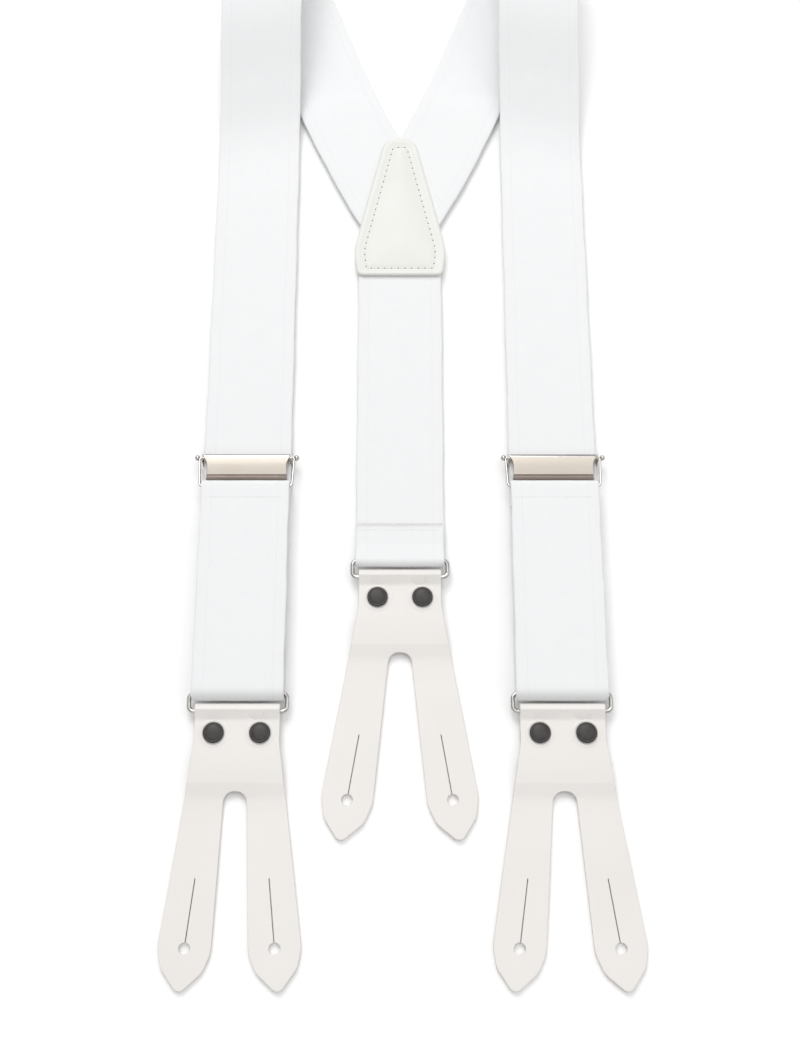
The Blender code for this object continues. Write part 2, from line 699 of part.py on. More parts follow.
def keyhole_outline(tip_x, way):
    """A buttonhole: a round hole with a slit running up from it, in the tab's flat plane."""
    root, tip, run, out = leg_frame(tip_x)
    middle = root + run * ((HOLE_DEPTH - root.y) / run.y)
    radius = HOLE_DIAMETER / 2
    half = SLIT_WIDTH / 2
    opening = math.degrees(math.asin(half / radius))
    outline = []
    for across, down in arc((0, 0), radius, -90 + opening, 270 - opening, 14):
        outline.append((across, down))
    outline += [(-half, -SLIT_LENGTH), (half, -SLIT_LENGTH)]
    placed = []
    for across, down in outline:
        point = middle + out * across + run * down
        placed.append((way * point.x, point.y))
    return placed


def circle_outline(x, depth, radius):
    """A round hole in the tab's flat plane."""
    return arc((x, depth), radius, 0, 340, 17)


def build_tab(which, middle, lower_bar_y, parts):
    """A forked leather tab, cut flat with its holes, then folded round the ring."""
    path = tab_path(lower_bar_y)
    fold_s = TAB_FLAP + math.pi * LEATHER_ROUND_WIRE
    roll = LEATHER_ROUND_WIRE + TAB_THICKNESS / 2

    def along(depth):
        """The distance along the leather of a depth below the rolled top, or of the flap's end at 0."""
        return path_distance(path, lower_bar_y + roll - depth, fold_s) if depth > 0 else 0.0

    tip_x = TIP_SPACING[which] / 2
    right = tab_half_corners(tip_x)
    left = [(-x, depth, radius) for x, depth, radius in reversed(right)]
    outline = [(x, along(depth)) for x, depth in rounded_outline(right + left)]
    holes = []
    for way in (-1, 1):
        holes.append([(x, along(depth)) for x, depth in keyhole_outline(tip_x, way)])
        rivet_x = way * RIVET_SPACING / 2
        hole_radius = RIVET_TUBE_RADIUS + TOUCH_GAP
        top_s = along(RIVET_DEPTH)
        flap_s = TAB_FLAP - (RIVET_DEPTH - roll)
        holes.append(circle_outline(rivet_x, top_s, hole_radius))
        holes.append(circle_outline(rivet_x, flap_s, hole_radius))
    flat = flat_plate([outline] + holes, TAB_THICKNESS)
    bent = fold_flat_piece(flat, path, middle)
    name = f"tab_{which}"
    origin = (middle, lower_bar_y, RING_HEIGHT)
    place(name, bent, leather_material(f"{name}_leather"), parts, origin)


def path_distance(path, y, from_s):
    """The distance along a path, past a given one, where it comes down to a place on Y."""
    for i in range(len(path.points) - 1):
        a, b = path.points[i], path.points[i + 1]
        if path.at[i + 1] > from_s and b.x < a.x and b.x - 1e-9 <= y <= a.x + 1e-9:
            return path.at[i] + (a.x - y) / (a.x - b.x) * (path.at[i + 1] - path.at[i])
    return path.length


def build_rivets(which, middle, lower_bar_y, parts):
    """Two rivets through the tab and its flap, each a tubed cap over a post on a flat base."""
    roll = LEATHER_ROUND_WIRE + TAB_THICKNESS / 2
    y = lower_bar_y + roll - RIVET_DEPTH
    leather_top = RING_HEIGHT - LEATHER_ROUND_WIRE + TAB_THICKNESS * 1.5 + TOUCH_GAP
    under = leather_top + TOUCH_GAP
    tube_inside = RIVET_TUBE_RADIUS - RIVET_TUBE_WALL
    tube_end = RIVET_BASE_HEIGHT + TOUCH_GAP
    post = tube_inside - TOUCH_GAP
    rim = 0.3 * RIVET_CAP_HEIGHT
    dome = []
    for i in range(5):
        angle = math.radians(90 * i / 4)
        rise = (RIVET_CAP_HEIGHT - rim) * math.cos(angle)
        dome.append((RIVET_CAP_RADIUS * math.sin(angle), under + rim + rise))
    cap = dome + [
        (RIVET_CAP_RADIUS, under),
        (RIVET_TUBE_RADIUS, under),
        (RIVET_TUBE_RADIUS, tube_end),
        (tube_inside, tube_end),
        (tube_inside, under),
        (0.0, under),
    ]
    base = [
        (0.0, under - TOUCH_GAP),
        (post, under - TOUCH_GAP),
        (post, RIVET_BASE_HEIGHT),
        (RIVET_CAP_RADIUS, RIVET_BASE_HEIGHT),
        (RIVET_CAP_RADIUS, 0.0),
        (0.0, 0.0),
    ]
    for way, label in ((-1, "a"), (1, "b")):
        centre = (middle + way * RIVET_SPACING / 2, y, 0.0)
        cap_name = f"rivet_cap_{which}_{label}"
        base_name = f"rivet_base_{which}_{label}"
        turned(cap_name, cap, centre, enamel_material(f"{cap_name}_enamel"), parts)
        turned(base_name, base, centre, enamel_material(f"{base_name}_enamel"), parts)


def centre_on_box(parts):
    """Moves every piece so that the origin is under the middle of the whole, at its lowest point."""
    bpy.context.view_layer.update()
    graph = bpy.context.evaluated_depsgraph_get()
    low = Vector((1e9, 1e9, 1e9))
    high = -low
    for piece in parts.objects:
        shown = piece.evaluated_get(graph)
        mesh = shown.to_mesh()
        for v in mesh.vertices:
            point = shown.matrix_world @ v.co
            low = Vector(map(min, low, point))
            high = Vector(map(max, high, point))
        shown.to_mesh_clear()
    shift = Vector((-(low.x + high.x) / 2, -(low.y + high.y) / 2, -low.z))
    for made in bpy.data.objects:
        made.location += shift
    bpy.context.view_layer.update()


def main():
    """Builds the suspenders."""
    clear_scene()
    parts = new_collection("suspenders")
    cutters = new_collection("suspenders_cutters")
    build_patch(parts)
    build_back_strap(parts)
    for side_name, side in SIDES.items():
        build_shoulder_strap(side_name, parts, cutters)
        build_loop(side_name, parts)
        build_adjuster(side_name, parts, cutters)
        middle = side * STRAP_SPACING / 2
        fold_axis = (middle, FRONT_RING_Y - RING_SEAT_OFFSET[0], LOOP_AXIS_Z)
        build_ring(side_name, middle, FRONT_RING_Y, fold_axis, parts)
        build_tab(side_name, middle, FRONT_RING_Y - RING_BAR_SPACING, parts)
        build_rivets(side_name, middle, FRONT_RING_Y - RING_BAR_SPACING, parts)
    build_ring("back", 0.0, BACK_RING_Y, (0.0, BACK_RING_Y, RING_HEIGHT), parts)
    build_tab("back", 0.0, BACK_RING_Y - RING_BAR_SPACING, parts)
    build_rivets("back", 0.0, BACK_RING_Y - RING_BAR_SPACING, parts)
    centre_on_box(parts)


main()
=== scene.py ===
import logging
import math
from dataclasses import dataclass, field
from enum import Enum
from typing import Callable

import bpy
from mathutils import Matrix, Vector


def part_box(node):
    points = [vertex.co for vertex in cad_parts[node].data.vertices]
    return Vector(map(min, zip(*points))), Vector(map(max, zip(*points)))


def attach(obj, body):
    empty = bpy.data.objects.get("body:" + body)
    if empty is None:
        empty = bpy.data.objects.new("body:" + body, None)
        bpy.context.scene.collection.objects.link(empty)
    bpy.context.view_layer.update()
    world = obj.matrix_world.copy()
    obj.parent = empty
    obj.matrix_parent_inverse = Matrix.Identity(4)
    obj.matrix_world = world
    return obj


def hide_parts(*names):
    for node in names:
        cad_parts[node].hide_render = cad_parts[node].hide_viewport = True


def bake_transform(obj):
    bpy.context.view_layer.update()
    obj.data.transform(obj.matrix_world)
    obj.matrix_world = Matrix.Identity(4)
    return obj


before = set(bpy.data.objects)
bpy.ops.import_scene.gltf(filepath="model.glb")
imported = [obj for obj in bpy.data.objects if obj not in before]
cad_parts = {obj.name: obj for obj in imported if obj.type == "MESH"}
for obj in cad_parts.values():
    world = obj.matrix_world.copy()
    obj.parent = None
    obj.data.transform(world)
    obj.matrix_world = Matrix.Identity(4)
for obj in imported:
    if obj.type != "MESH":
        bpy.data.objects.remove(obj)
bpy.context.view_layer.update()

log = logging.getLogger("suspenders")

Piece = bpy.types.Object
Material = bpy.types.Material
Node = bpy.types.Node
NodeTree = bpy.types.NodeTree
Socket = bpy.types.NodeSocket

MM = 0.001
UV_SCALE = 100.0  # UV units per metre, so that one unit is 10 mm of webbing


class Side(Enum):
    """The two front straps, by the sign of their X."""

    LEFT = -1
    RIGHT = 1

    @property
    def label(self) -> str:
        """The word that the frame's nodes and bodies use."""
        return self.name.lower()


# ---------------------------------------------------------------- shader groups


def _socket(tree: NodeTree, name: str, way: str, kind: str, value: float | None = None) -> None:
    """Adds a named input or output to a shader group.

    Args:
        tree: The group's node tree.
        name: The socket's name.
        way: INPUT or OUTPUT.
        kind: The socket's type.
        value: Its default, for a float input.
    """
    made = tree.interface.new_socket(name=name, in_out=way, socket_type=kind)
    if value is not None:
        made.default_value = value


class NodeBoard:
    """A short hand for placing and wiring shader nodes in one tree."""

    def __init__(self, tree: NodeTree) -> None:
        """Keeps the tree that nodes are added to."""
        self.tree = tree

    def add(self, kind: str, **settings: object) -> Node:
        """Adds a node and sets its properties.

        Args:
            kind: The node's type.
            settings: Properties of the node, by name.

        Returns:
            The new node.
        """
        node = self.tree.nodes.new(kind)
        for key, value in settings.items():
            setattr(node, key, value)
        return node

    def wire(self, start: Socket, end: Socket) -> None:
        """Joins an output to an input."""
        self.tree.links.new(start, end)

    def math(self, operation: str, first: object, second: object = 0.0) -> Socket:
        """Adds a Math node.

        Args:
            operation: The node's operation.
            first: A socket or a number.
            second: A socket or a number.

        Returns:
            The node's output.
        """
        node = self.add("ShaderNodeMath", operation=operation)
        for socket, value in zip(node.inputs, (first, second)):
            if isinstance(value, Socket):
                self.wire(value, socket)
            else:
                socket.default_value = value
        return node.outputs[0]

    def noise(self, where: Socket, scale: float, detail: float = 2.0) -> Socket:
        """Adds a noise texture.

        Args:
            where: The coordinates that it reads.
            scale: Its scale.
            detail: Its detail.

        Returns:
            Its value.
        """
        node = self.add("ShaderNodeTexNoise")
        node.inputs["Scale"].default_value = scale
        node.inputs["Detail"].default_value = detail
        self.wire(where, node.inputs["Vector"])
        return node.outputs["Fac"]

    def mix(self, factor: object, first: object, second: object) -> Socket:
        """Mixes two colours.

        Args:
            factor: How much of the second colour there is, as a socket or a number.
            first: A socket or a tuple.
            second: A socket or a tuple.

        Returns:
            The mixed colour.
        """
        node = self.add("ShaderNodeMix", data_type="RGBA")
        for socket, value in ((node.inputs[0], factor), (node.inputs[6], first), (node.inputs[7], second)):
            if isinstance(value, Socket):
                self.wire(value, socket)
            elif isinstance(value, tuple):
                socket.default_value = (*value, 1.0)
            else:
                socket.default_value = value
        return node.outputs[2]


def new_group(name: str, inputs: dict[str, float], outputs: tuple[str, ...]) -> tuple[NodeBoard, dict, dict]:
    """Starts a shader group that takes a vector and named values and gives out values.

    Args:
        name: The group's name.
        inputs: Float inputs and their defaults.
        outputs: Float outputs.

    Returns:
        The board to build on, the group's input sockets and its output sockets.
    """
    tree = bpy.data.node_groups.new(name, "ShaderNodeTree")
    _socket(tree, "Vector", "INPUT", "NodeSocketVector")
    for key, value in inputs.items():
        _socket(tree, key, "INPUT", "NodeSocketFloat", value)
    for key in outputs:
        _socket(tree, key, "OUTPUT", "NodeSocketFloat")
    board = NodeBoard(tree)
    start = board.add("NodeGroupInput")
    end = board.add("NodeGroupOutput")
    return board, start.outputs, end.inputs


def weave_group() -> NodeTree:
    """Elastic webbing: a plain weave with ribs, a woven line inside each edge and uneven yarns.

    Returns:
        The group's tree.
    """
    board, given, out = new_group(
        "elastic_weave",
        {"Rib Pitch": 0.075, "Pick Pitch": 0.06, "Border": 1.32, "Border Width": 0.045},
        ("Height", "Shade", "Border Line"),
    )
    parts = board.add("ShaderNodeSeparateXYZ")
    board.wire(given["Vector"], parts.inputs[0])
    across, along = parts.outputs[0], parts.outputs[1]
    waves = []
    for place, pitch in ((across, "Rib Pitch"), (along, "Pick Pitch")):
        turns = board.math("DIVIDE", math.tau, given[pitch])
        waves.append(board.math("SINE", board.math("MULTIPLY", place, turns)))
    plain = board.math("MULTIPLY", *waves)
    uneven = board.noise(given["Vector"], 9.0, 4.0)
    slub = board.noise(given["Vector"], 1.3, 2.0)
    from_line = board.math("SUBTRACT", board.math("ABSOLUTE", across), given["Border"])
    closeness = board.math("DIVIDE", board.math("ABSOLUTE", from_line), given["Border Width"])
    line = board.math("MAXIMUM", board.math("SUBTRACT", 1.0, closeness), 0.0)
    height = board.math("ADD", board.math("MULTIPLY", plain, 0.35), board.math("MULTIPLY", uneven, 0.6))
    height = board.math("SUBTRACT", height, board.math("MULTIPLY", line, 0.8))
    board.wire(height, out["Height"])
    shade = board.math("ADD", board.math("MULTIPLY", uneven, 0.5), board.math("MULTIPLY", slub, 0.5))
    board.wire(shade, out["Shade"])
    board.wire(line, out["Border Line"])
    return board.tree


def grain_group() -> NodeTree:
    """Finished leather: fine pores, soft creases and a slow mottle.

    Returns:
        The group's tree.
    """
    board, given, out = new_group(
        "leather_grain", {"Pore Scale": 1400.0, "Crease Scale": 160.0}, ("Height", "Mottle", "Smudge")
    )
    pores = board.add("ShaderNodeTexVoronoi", feature="SMOOTH_F1")
    board.wire(given["Vector"], pores.inputs["Vector"])
    board.wire(given["Pore Scale"], pores.inputs["Scale"])
    creases = board.add("ShaderNodeTexNoise")
    creases.inputs["Detail"].default_value = 5.0
    creases.inputs["Distortion"].default_value = 0.8
    board.wire(given["Vector"], creases.inputs["Vector"])
    board.wire(given["Crease Scale"], creases.inputs["Scale"])
    mottle = board.noise(given["Vector"], 45.0, 3.0)
    smudge = board.noise(given["Vector"], 14.0, 2.0)
    height = board.math("MULTIPLY", pores.outputs["Distance"], 0.4)
    height = board.math("ADD", height, board.math("MULTIPLY", creases.outputs["Fac"], 0.6))
    board.wire(height, out["Height"])
    board.wire(mottle, out["Mottle"])
    board.wire(smudge, out["Smudge"])
    return board.tree


def brushed_group() -> NodeTree:
    """Metal: fine parallel brush lines along X, small handling marks and a slow tarnish.

    Returns:
        The group's tree.
    """
    board, given, out = new_group("metal_marks", {"Line Scale": 2600.0}, ("Lines", "Marks", "Tarnish"))
    stretch = board.add("ShaderNodeMapping")
    stretch.inputs["Scale"].default_value = (0.02, 1.0, 1.0)
    board.wire(given["Vector"], stretch.inputs["Vector"])
    lines = board.add("ShaderNodeTexNoise")
    lines.inputs["Detail"].default_value = 3.0
    board.wire(stretch.outputs[0], lines.inputs["Vector"])
    board.wire(given["Line Scale"], lines.inputs["Scale"])
    board.wire(lines.outputs["Fac"], out["Lines"])
    board.wire(board.noise(given["Vector"], 700.0, 4.0), out["Marks"])
    board.wire(board.noise(given["Vector"], 90.0, 3.0), out["Tarnish"])
    return board.tree


# ---------------------------------------------------------------- finishes


@dataclass(frozen=True)
class Finish:
    """What every finish has: a name, a base colour and a roughness."""

    name: str
    colour: tuple[float, float, float]
    roughness: float

    def start(self) -> tuple[Material, NodeBoard, Node]:
        """Makes the material.

        Returns:
            The material, a board on its tree and its Principled BSDF.
        """
        made = bpy.data.materials.new(self.name)
        made.use_nodes = True
        shader = made.node_tree.nodes["Principled BSDF"]
        shader.inputs["Base Color"].default_value = (*self.colour, 1.0)
        shader.inputs["Roughness"].default_value = self.roughness
        return made, NodeBoard(made.node_tree), shader

    def group(self, board: NodeBoard, name: str, source: str, build: Callable[[], NodeTree]) -> Node:
        """Places a shared shader group, building it the first time.

        Args:
            board: The material's board.
            name: The group's name.
            source: UV or Object, the coordinates that it reads.
            build: The function that makes the group.

        Returns:
            The group node.
        """
        node = board.add("ShaderNodeGroup")
        node.node_tree = bpy.data.node_groups.get(name) or build()
        where = board.add("ShaderNodeTexCoord")
        board.wire(where.outputs[source], node.inputs["Vector"])
        return node

    def roughen(self, board: NodeBoard, shader: Node, source: Socket, amount: float, less: float) -> None:
        """Varies the roughness over the surface.

        Args:
            board: The material's board.
            shader: Its Principled BSDF.
            source: The value that it follows.
            amount: How much rougher it gets where the value is 1.
            less: How much smoother than the finish's own roughness it is where the value is 0.
        """
        varied = board.math("MULTIPLY", source, amount)
        board.wire(board.math("ADD", varied, self.roughness - less), shader.inputs["Roughness"])

    def bump(self, board: NodeBoard, shader: Node, height: Socket, strength: float, depth: float) -> None:
        """Feeds a height into the shader's normal.

        Args:
            board: The material's board.
            shader: Its Principled BSDF.
            height: The socket that gives the height.
            strength: The bump's strength.
            depth: The bump's distance in metres.
        """
        node = board.add("ShaderNodeBump")
        node.inputs["Strength"].default_value = strength
        node.inputs["Distance"].default_value = depth
        board.wire(height, node.inputs["Height"])
        board.wire(node.outputs[0], shader.inputs["Normal"])


@dataclass(frozen=True)
class WebbingFinish(Finish):
    """Woven elastic."""

    shade: tuple[float, float, float] = (0.735, 0.742, 0.752)
    line: tuple[float, float, float] = (0.72, 0.73, 0.74)

    def material(self) -> Material:
        """Makes the webbing's material.

        Returns:
            The material.
        """
        made, board, shader = self.start()
        weave = self.group(board, "elastic_weave", "UV", weave_group)
        soft = board.math("MULTIPLY", weave.outputs["Shade"], 0.55)
        base = board.mix(soft, self.colour, self.shade)
        lined = board.mix(board.math("MULTIPLY", weave.outputs["Border Line"], 0.3), base, self.line)
        board.wire(lined, shader.inputs["Base Color"])
        self.roughen(board, shader, weave.outputs["Shade"], 0.2, 0.1)
        shader.inputs["Sheen Weight"].default_value = 0.25
        shader.inputs["Sheen Roughness"].default_value = 0.4
        shader.inputs["Specular IOR Level"].default_value = 0.25
        self.bump(board, shader, weave.outputs["Height"], 0.55, 0.00012)
        return made


@dataclass(frozen=True)
class LeatherFinish(Finish):
    """Finished leather."""

    shade: tuple[float, float, float] = (0.70, 0.67, 0.64)
    pores: float = 1400.0
    relief: float = 0.35

    def material(self) -> Material:
        """Makes the leather's material.

        Returns:
            The material.
        """
        made, board, shader = self.start()
        grain = self.group(board, "leather_grain", "Object", grain_group)
        grain.inputs["Pore Scale"].default_value = self.pores
        cloud = board.math("ADD", grain.outputs["Mottle"], grain.outputs["Smudge"])
        tone = board.math("MULTIPLY", cloud, 0.35)
        board.wire(board.mix(tone, self.colour, self.shade), shader.inputs["Base Color"])
        self.roughen(board, shader, grain.outputs["Mottle"], 0.2, 0.1)
        shader.inputs["Specular IOR Level"].default_value = 0.4
        self.bump(board, shader, grain.outputs["Height"], self.relief, 0.00015)
        return made


@dataclass(frozen=True)
class NickelFinish(Finish):
    """Nickel plate, brushed or polished."""

    tarnish: tuple[float, float, float] = (0.50, 0.44, 0.38)
    relief: float = 0.2

    def material(self) -> Material:
        """Makes the metal's material.

        Returns:
            The material.
        """
        made, board, shader = self.start()
        shader.inputs["Metallic"].default_value = 1.0
        marks = self.group(board, "metal_marks", "Object", brushed_group)
        streaks = board.math("ADD", marks.outputs["Lines"], 0.25)
        tone = board.math("MULTIPLY", marks.outputs["Tarnish"], streaks)
        board.wire(board.mix(tone, self.colour, self.tarnish), shader.inputs["Base Color"])
        self.roughen(board, shader, marks.outputs["Lines"], 0.16, 0.08)
        scuffs = board.math("MULTIPLY", marks.outputs["Marks"], 0.4)
        height = board.math("ADD", marks.outputs["Lines"], scuffs)
        self.bump(board, shader, height, self.relief, 0.00004)
        return made


@dataclass(frozen=True)
class EnamelFinish(Finish):
    """Black fired enamel with a fine pebbled top."""

    worn: tuple[float, float, float] = (0.055, 0.048, 0.045)

    def material(self) -> Material:
        """Makes the enamel's material.

        Returns:
            The material.
        """
        made, board, shader = self.start()
        marks = self.group(board, "metal_marks", "Object", brushed_group)
        board.wire(board.mix(marks.outputs["Marks"], self.colour, self.worn), shader.inputs["Base Color"])
        self.roughen(board, shader, marks.outputs["Marks"], 0.25, 0.1)
        self.bump(board, shader, marks.outputs["Marks"], 0.4, 0.00008)
        return made


@dataclass(frozen=True)
class ThreadFinish(Finish):
    """Twisted sewing thread."""

    shade: tuple[float, float, float] = (0.62, 0.60, 0.57)

    def material(self) -> Material:
        """Makes the thread's material.

        Returns:
            The material.
        """
        made, board, shader = self.start()
        where = board.add("ShaderNodeTexCoord")
        twist = board.add("ShaderNodeTexWave", bands_direction="DIAGONAL")
        twist.inputs["Scale"].default_value = 900.0
        twist.inputs["Distortion"].default_value = 1.0
        board.wire(where.outputs["Object"], twist.inputs["Vector"])
        board.wire(board.mix(twist.outputs["Fac"], self.shade, self.colour), shader.inputs["Base Color"])
        shader.inputs["Sheen Weight"].default_value = 0.3
        self.bump(board, shader, twist.outputs["Fac"], 0.5, 0.00006)
        return made


def ready(finish: Finish) -> Material:
    """A field that makes a finish's material when the wardrobe is opened."""
    return field(default_factory=finish.material)


@dataclass
class Wardrobe:
    """All the finishes, each made once."""

    webbing: Material = ready(WebbingFinish("white_webbing", (0.80, 0.804, 0.809), 0.85))
    tab: Material = ready(LeatherFinish("tab_leather", (0.785, 0.765, 0.74), 0.5))
    tab_edge: Material = ready(
        LeatherFinish("tab_cut_edge", (0.76, 0.73, 0.69), 0.8, (0.60, 0.56, 0.51), 900.0, 0.8)
    )
    patch: Material = ready(LeatherFinish("patch_leather", (0.745, 0.75, 0.715), 0.5, (0.68, 0.68, 0.64)))
    brushed: Material = ready(NickelFinish("brushed_nickel", (0.54, 0.50, 0.45), 0.36, relief=0.5))
    polished: Material = ready(
        NickelFinish("polished_nickel", (0.60, 0.585, 0.565), 0.17, (0.42, 0.40, 0.38), 0.08)
    )
    # darker copy of the nickel for the cover's lip: painted shade
    shaded: Material = ready(NickelFinish("nickel_painted_shade", (0.36, 0.31, 0.275), 0.42, (0.22, 0.18, 0.16), 0.5))
    enamel: Material = ready(EnamelFinish("black_enamel", (0.010, 0.009, 0.009), 0.46))
    thread: Material = ready(ThreadFinish("sewing_thread", (0.88, 0.875, 0.85), 0.6))
    # dark colour of the needle holes: painted shade inside the holes
    hole: Material = ready(ThreadFinish("shaded_needle_hole", (0.25, 0.235, 0.215), 0.9, (0.16, 0.15, 0.14)))


# ---------------------------------------------------------------- tools


def deselect() -> None:
    """Clears the selection, so that an operator acts only on what is chosen next."""
    if bpy.context.mode != "OBJECT":
        bpy.ops.object.mode_set(mode="OBJECT")
    bpy.ops.object.select_all(action="DESELECT")


def take(piece: Piece) -> None:
    """Makes one piece the only selected and the active one.

    Args:
        piece: The piece.
    """
    deselect()
    piece.select_set(True)
    bpy.context.view_layer.objects.active = piece


def choose(piece: Piece, test: Callable[[Vector], bool]) -> None:
    """Selects the points of a piece that pass a test, and the edges and faces between them.

    Args:
        piece: The piece.
        test: Says of a point whether it is selected.
    """
    take(piece)
    mesh = piece.data
    for vertex in mesh.vertices:
        vertex.select = test(vertex.co)
    for part in (*mesh.edges, *mesh.polygons):
        part.select = all(mesh.vertices[k].select for k in part.vertices)


def apply_all(piece: Piece) -> None:
    """Applies every modifier of a piece.

    Args:
        piece: The piece.
    """
    take(piece)
    for modifier in list(piece.modifiers):
        bpy.ops.object.modifier_apply(modifier=modifier.name)


def smooth(piece: Piece, degrees: float = 35.0) -> None:
    """Shades a piece smooth, apart from its sharp corners."""
    take(piece)
    bpy.ops.object.shade_smooth_by_angle(angle=math.radians(degrees))


def soften(piece: Piece, width: float, segments: int = 2, degrees: float = 30.0) -> None:
    """Rounds a piece's sharp edges.

    Args:
        piece: The piece.
        width: The width of the rounding in metres.
        segments: Its number of faces.
        degrees: Edges flatter than this stay.
    """
    bevel = piece.modifiers.new("rounding", "BEVEL")
    bevel.width = width
    bevel.segments = segments
    bevel.limit_method = "ANGLE"
    bevel.angle_limit = math.radians(degrees)
    bevel.harden_normals = False
    apply_all(piece)


def mesh_piece(name: str, verts: list, faces: list[tuple], *finishes: Material) -> Piece:
    """Makes a piece of points and faces in the frame's own coordinates.

    Args:
        name: The piece's name.
        verts: Its points.
        faces: Its faces, as numbers of points.
        finishes: Its materials.

    Returns:
        The piece.
    """
    mesh = bpy.data.meshes.new(name)
    mesh.from_pydata([tuple(v) for v in verts], [], faces)
    mesh.validate()
    for finish in finishes:
        mesh.materials.append(finish)
    made = bpy.data.objects.new(name, mesh)
    bpy.context.scene.collection.objects.link(made)
    return made


def mend(piece: Piece, gap: float = 0.00001) -> None:
    """Merges doubled points and turns every face outwards.

    Args:
        piece: The piece.
        gap: Points nearer than this are merged.
    """
    take(piece)
    bpy.ops.object.mode_set(mode="EDIT")
    bpy.ops.mesh.select_all(action="SELECT")
    bpy.ops.mesh.remove_doubles(threshold=gap)
    bpy.ops.mesh.normals_make_consistent(inside=False)
    bpy.ops.object.mode_set(mode="OBJECT")


def wire(name: str, points: list[Vector], radius: float, closed: bool, finish: Material) -> Piece:
    """A round wire through points, as a mesh.

    Args:
        name: The piece's name.
        points: Its middle line.
        radius: Half its thickness.
        closed: Whether its ends meet.
        finish: Its material.

    Returns:
        The piece.
    """
    curve = bpy.data.curves.new(name, "CURVE")
    curve.dimensions = "3D"
    curve.bevel_depth = radius
    curve.bevel_resolution = 5
    curve.use_fill_caps = not closed
    spline = curve.splines.new("POLY")
    spline.points.add(len(points) - 1)
    for point, at in zip(spline.points, points):
        point.co = (*at, 1.0)
    spline.use_cyclic_u = closed
    made = bpy.data.objects.new(name, curve)
    bpy.context.scene.collection.objects.link(made)
    take(made)
    bpy.ops.object.convert(target="MESH")
    made = bpy.context.view_layer.objects.active
    made.data.materials.clear()
    made.data.materials.append(finish)
    mend(made)
    smooth(made, 50.0)
    return made


def join(name: str, pieces: list[Piece]) -> Piece:
    """Joins several pieces into the first, under one name.

    Args:
        name: The joined piece's name.
        pieces: The pieces.

    Returns:
        The joined piece.
    """
    deselect()
    for piece in pieces:
        piece.select_set(True)
    bpy.context.view_layer.objects.active = pieces[0]
    if len(pieces) > 1:
        bpy.ops.object.join()
    made = bpy.context.view_layer.objects.active
    made.name = name
    made.data.name = name
    return made


def turned(name: str, profile: list[tuple[float, float]], finish: Material, steps: int = 36) -> Piece:
    """A piece turned about Z with Spin, from a profile that starts and ends on the axis.

    Args:
        name: The piece's name.
        profile: Points (radius, z) from the top down.
        finish: Its material.
        steps: The number of faces round it.

    Returns:
        The piece, centred on the Z axis.
    """
    mesh = bpy.data.meshes.new(name)
    edges = [(i, i + 1) for i in range(len(profile) - 1)]
    mesh.from_pydata([(radius, 0.0, z) for radius, z in profile], edges, [])
    mesh.materials.append(finish)
    made = bpy.data.objects.new(name, mesh)
    bpy.context.scene.collection.objects.link(made)
    take(made)
    bpy.ops.object.mode_set(mode="EDIT")
    bpy.ops.mesh.select_all(action="SELECT")
    bpy.ops.mesh.spin(steps=steps, angle=math.tau, center=(0, 0, 0), axis=(0, 0, 1))
    bpy.ops.object.mode_set(mode="OBJECT")
    mend(made)
    return made


def copy_piece(source: Piece, name: str, place: Matrix) -> Piece:
    """Copies a piece with its own mesh and puts the copy elsewhere.

    Args:
        source: The piece to copy.
        name: The copy's name.
        place: The move or turn that the copy gets.

    Returns:
        The copy.
    """
    made = source.copy()
    made.data = source.data.copy()
    made.name = name
    made.data.name = name
    made.data.transform(place)
    bpy.context.scene.collection.objects.link(made)
    return made


def arc(centre: tuple[float, float], radius: float, start: float, end: float, steps: int) -> list[Vector]:
    """An arc in a plane.

    Args:
        centre: Its centre.
        radius: Its radius.
        start: Its first angle in degrees.
        end: Its last angle in degrees.
        steps: The number of straight pieces in it.

    Returns:
        Its points.
    """
    points = []
    for i in range(steps + 1):
        angle = math.radians(start + (end - start) * i / steps)
        points.append(Vector((centre[0] + radius * math.cos(angle), centre[1] + radius * math.sin(angle))))
    return points


def rounded_outline(corners: list[tuple[float, float, float]], steps: int = 10) -> list[Vector]:
    """Rounds each corner (x, y, radius) of a closed outline with an arc.

    Args:
        corners: The outline's corners in order.
        steps: The number of straight pieces in each arc.

    Returns:
        The points of the rounded outline.
    """
    outline = []
    for i, (x, y, radius) in enumerate(corners):
        here = Vector((x, y))
        before = Vector(corners[i - 1][:2]) - here
        after = Vector(corners[(i + 1) % len(corners)][:2]) - here
        half_angle = before.angle(after) / 2
        if radius == 0 or math.pi / 2 - half_angle < 0.01:
            outline.append(here)
            continue
        reach = radius / math.tan(half_angle)
        halfway = (before.normalized() + after.normalized()).normalized()
        middle = here + halfway * (radius / math.sin(half_angle))
        first = here + before.normalized() * reach - middle
        last = here + after.normalized() * reach - middle
        turn = first.angle_signed(last)
        for k in range(steps + 1):
            spoke = first.copy()
            spoke.rotate(Matrix.Rotation(-turn * k / steps, 2))
            outline.append(middle + spoke)
    return outline


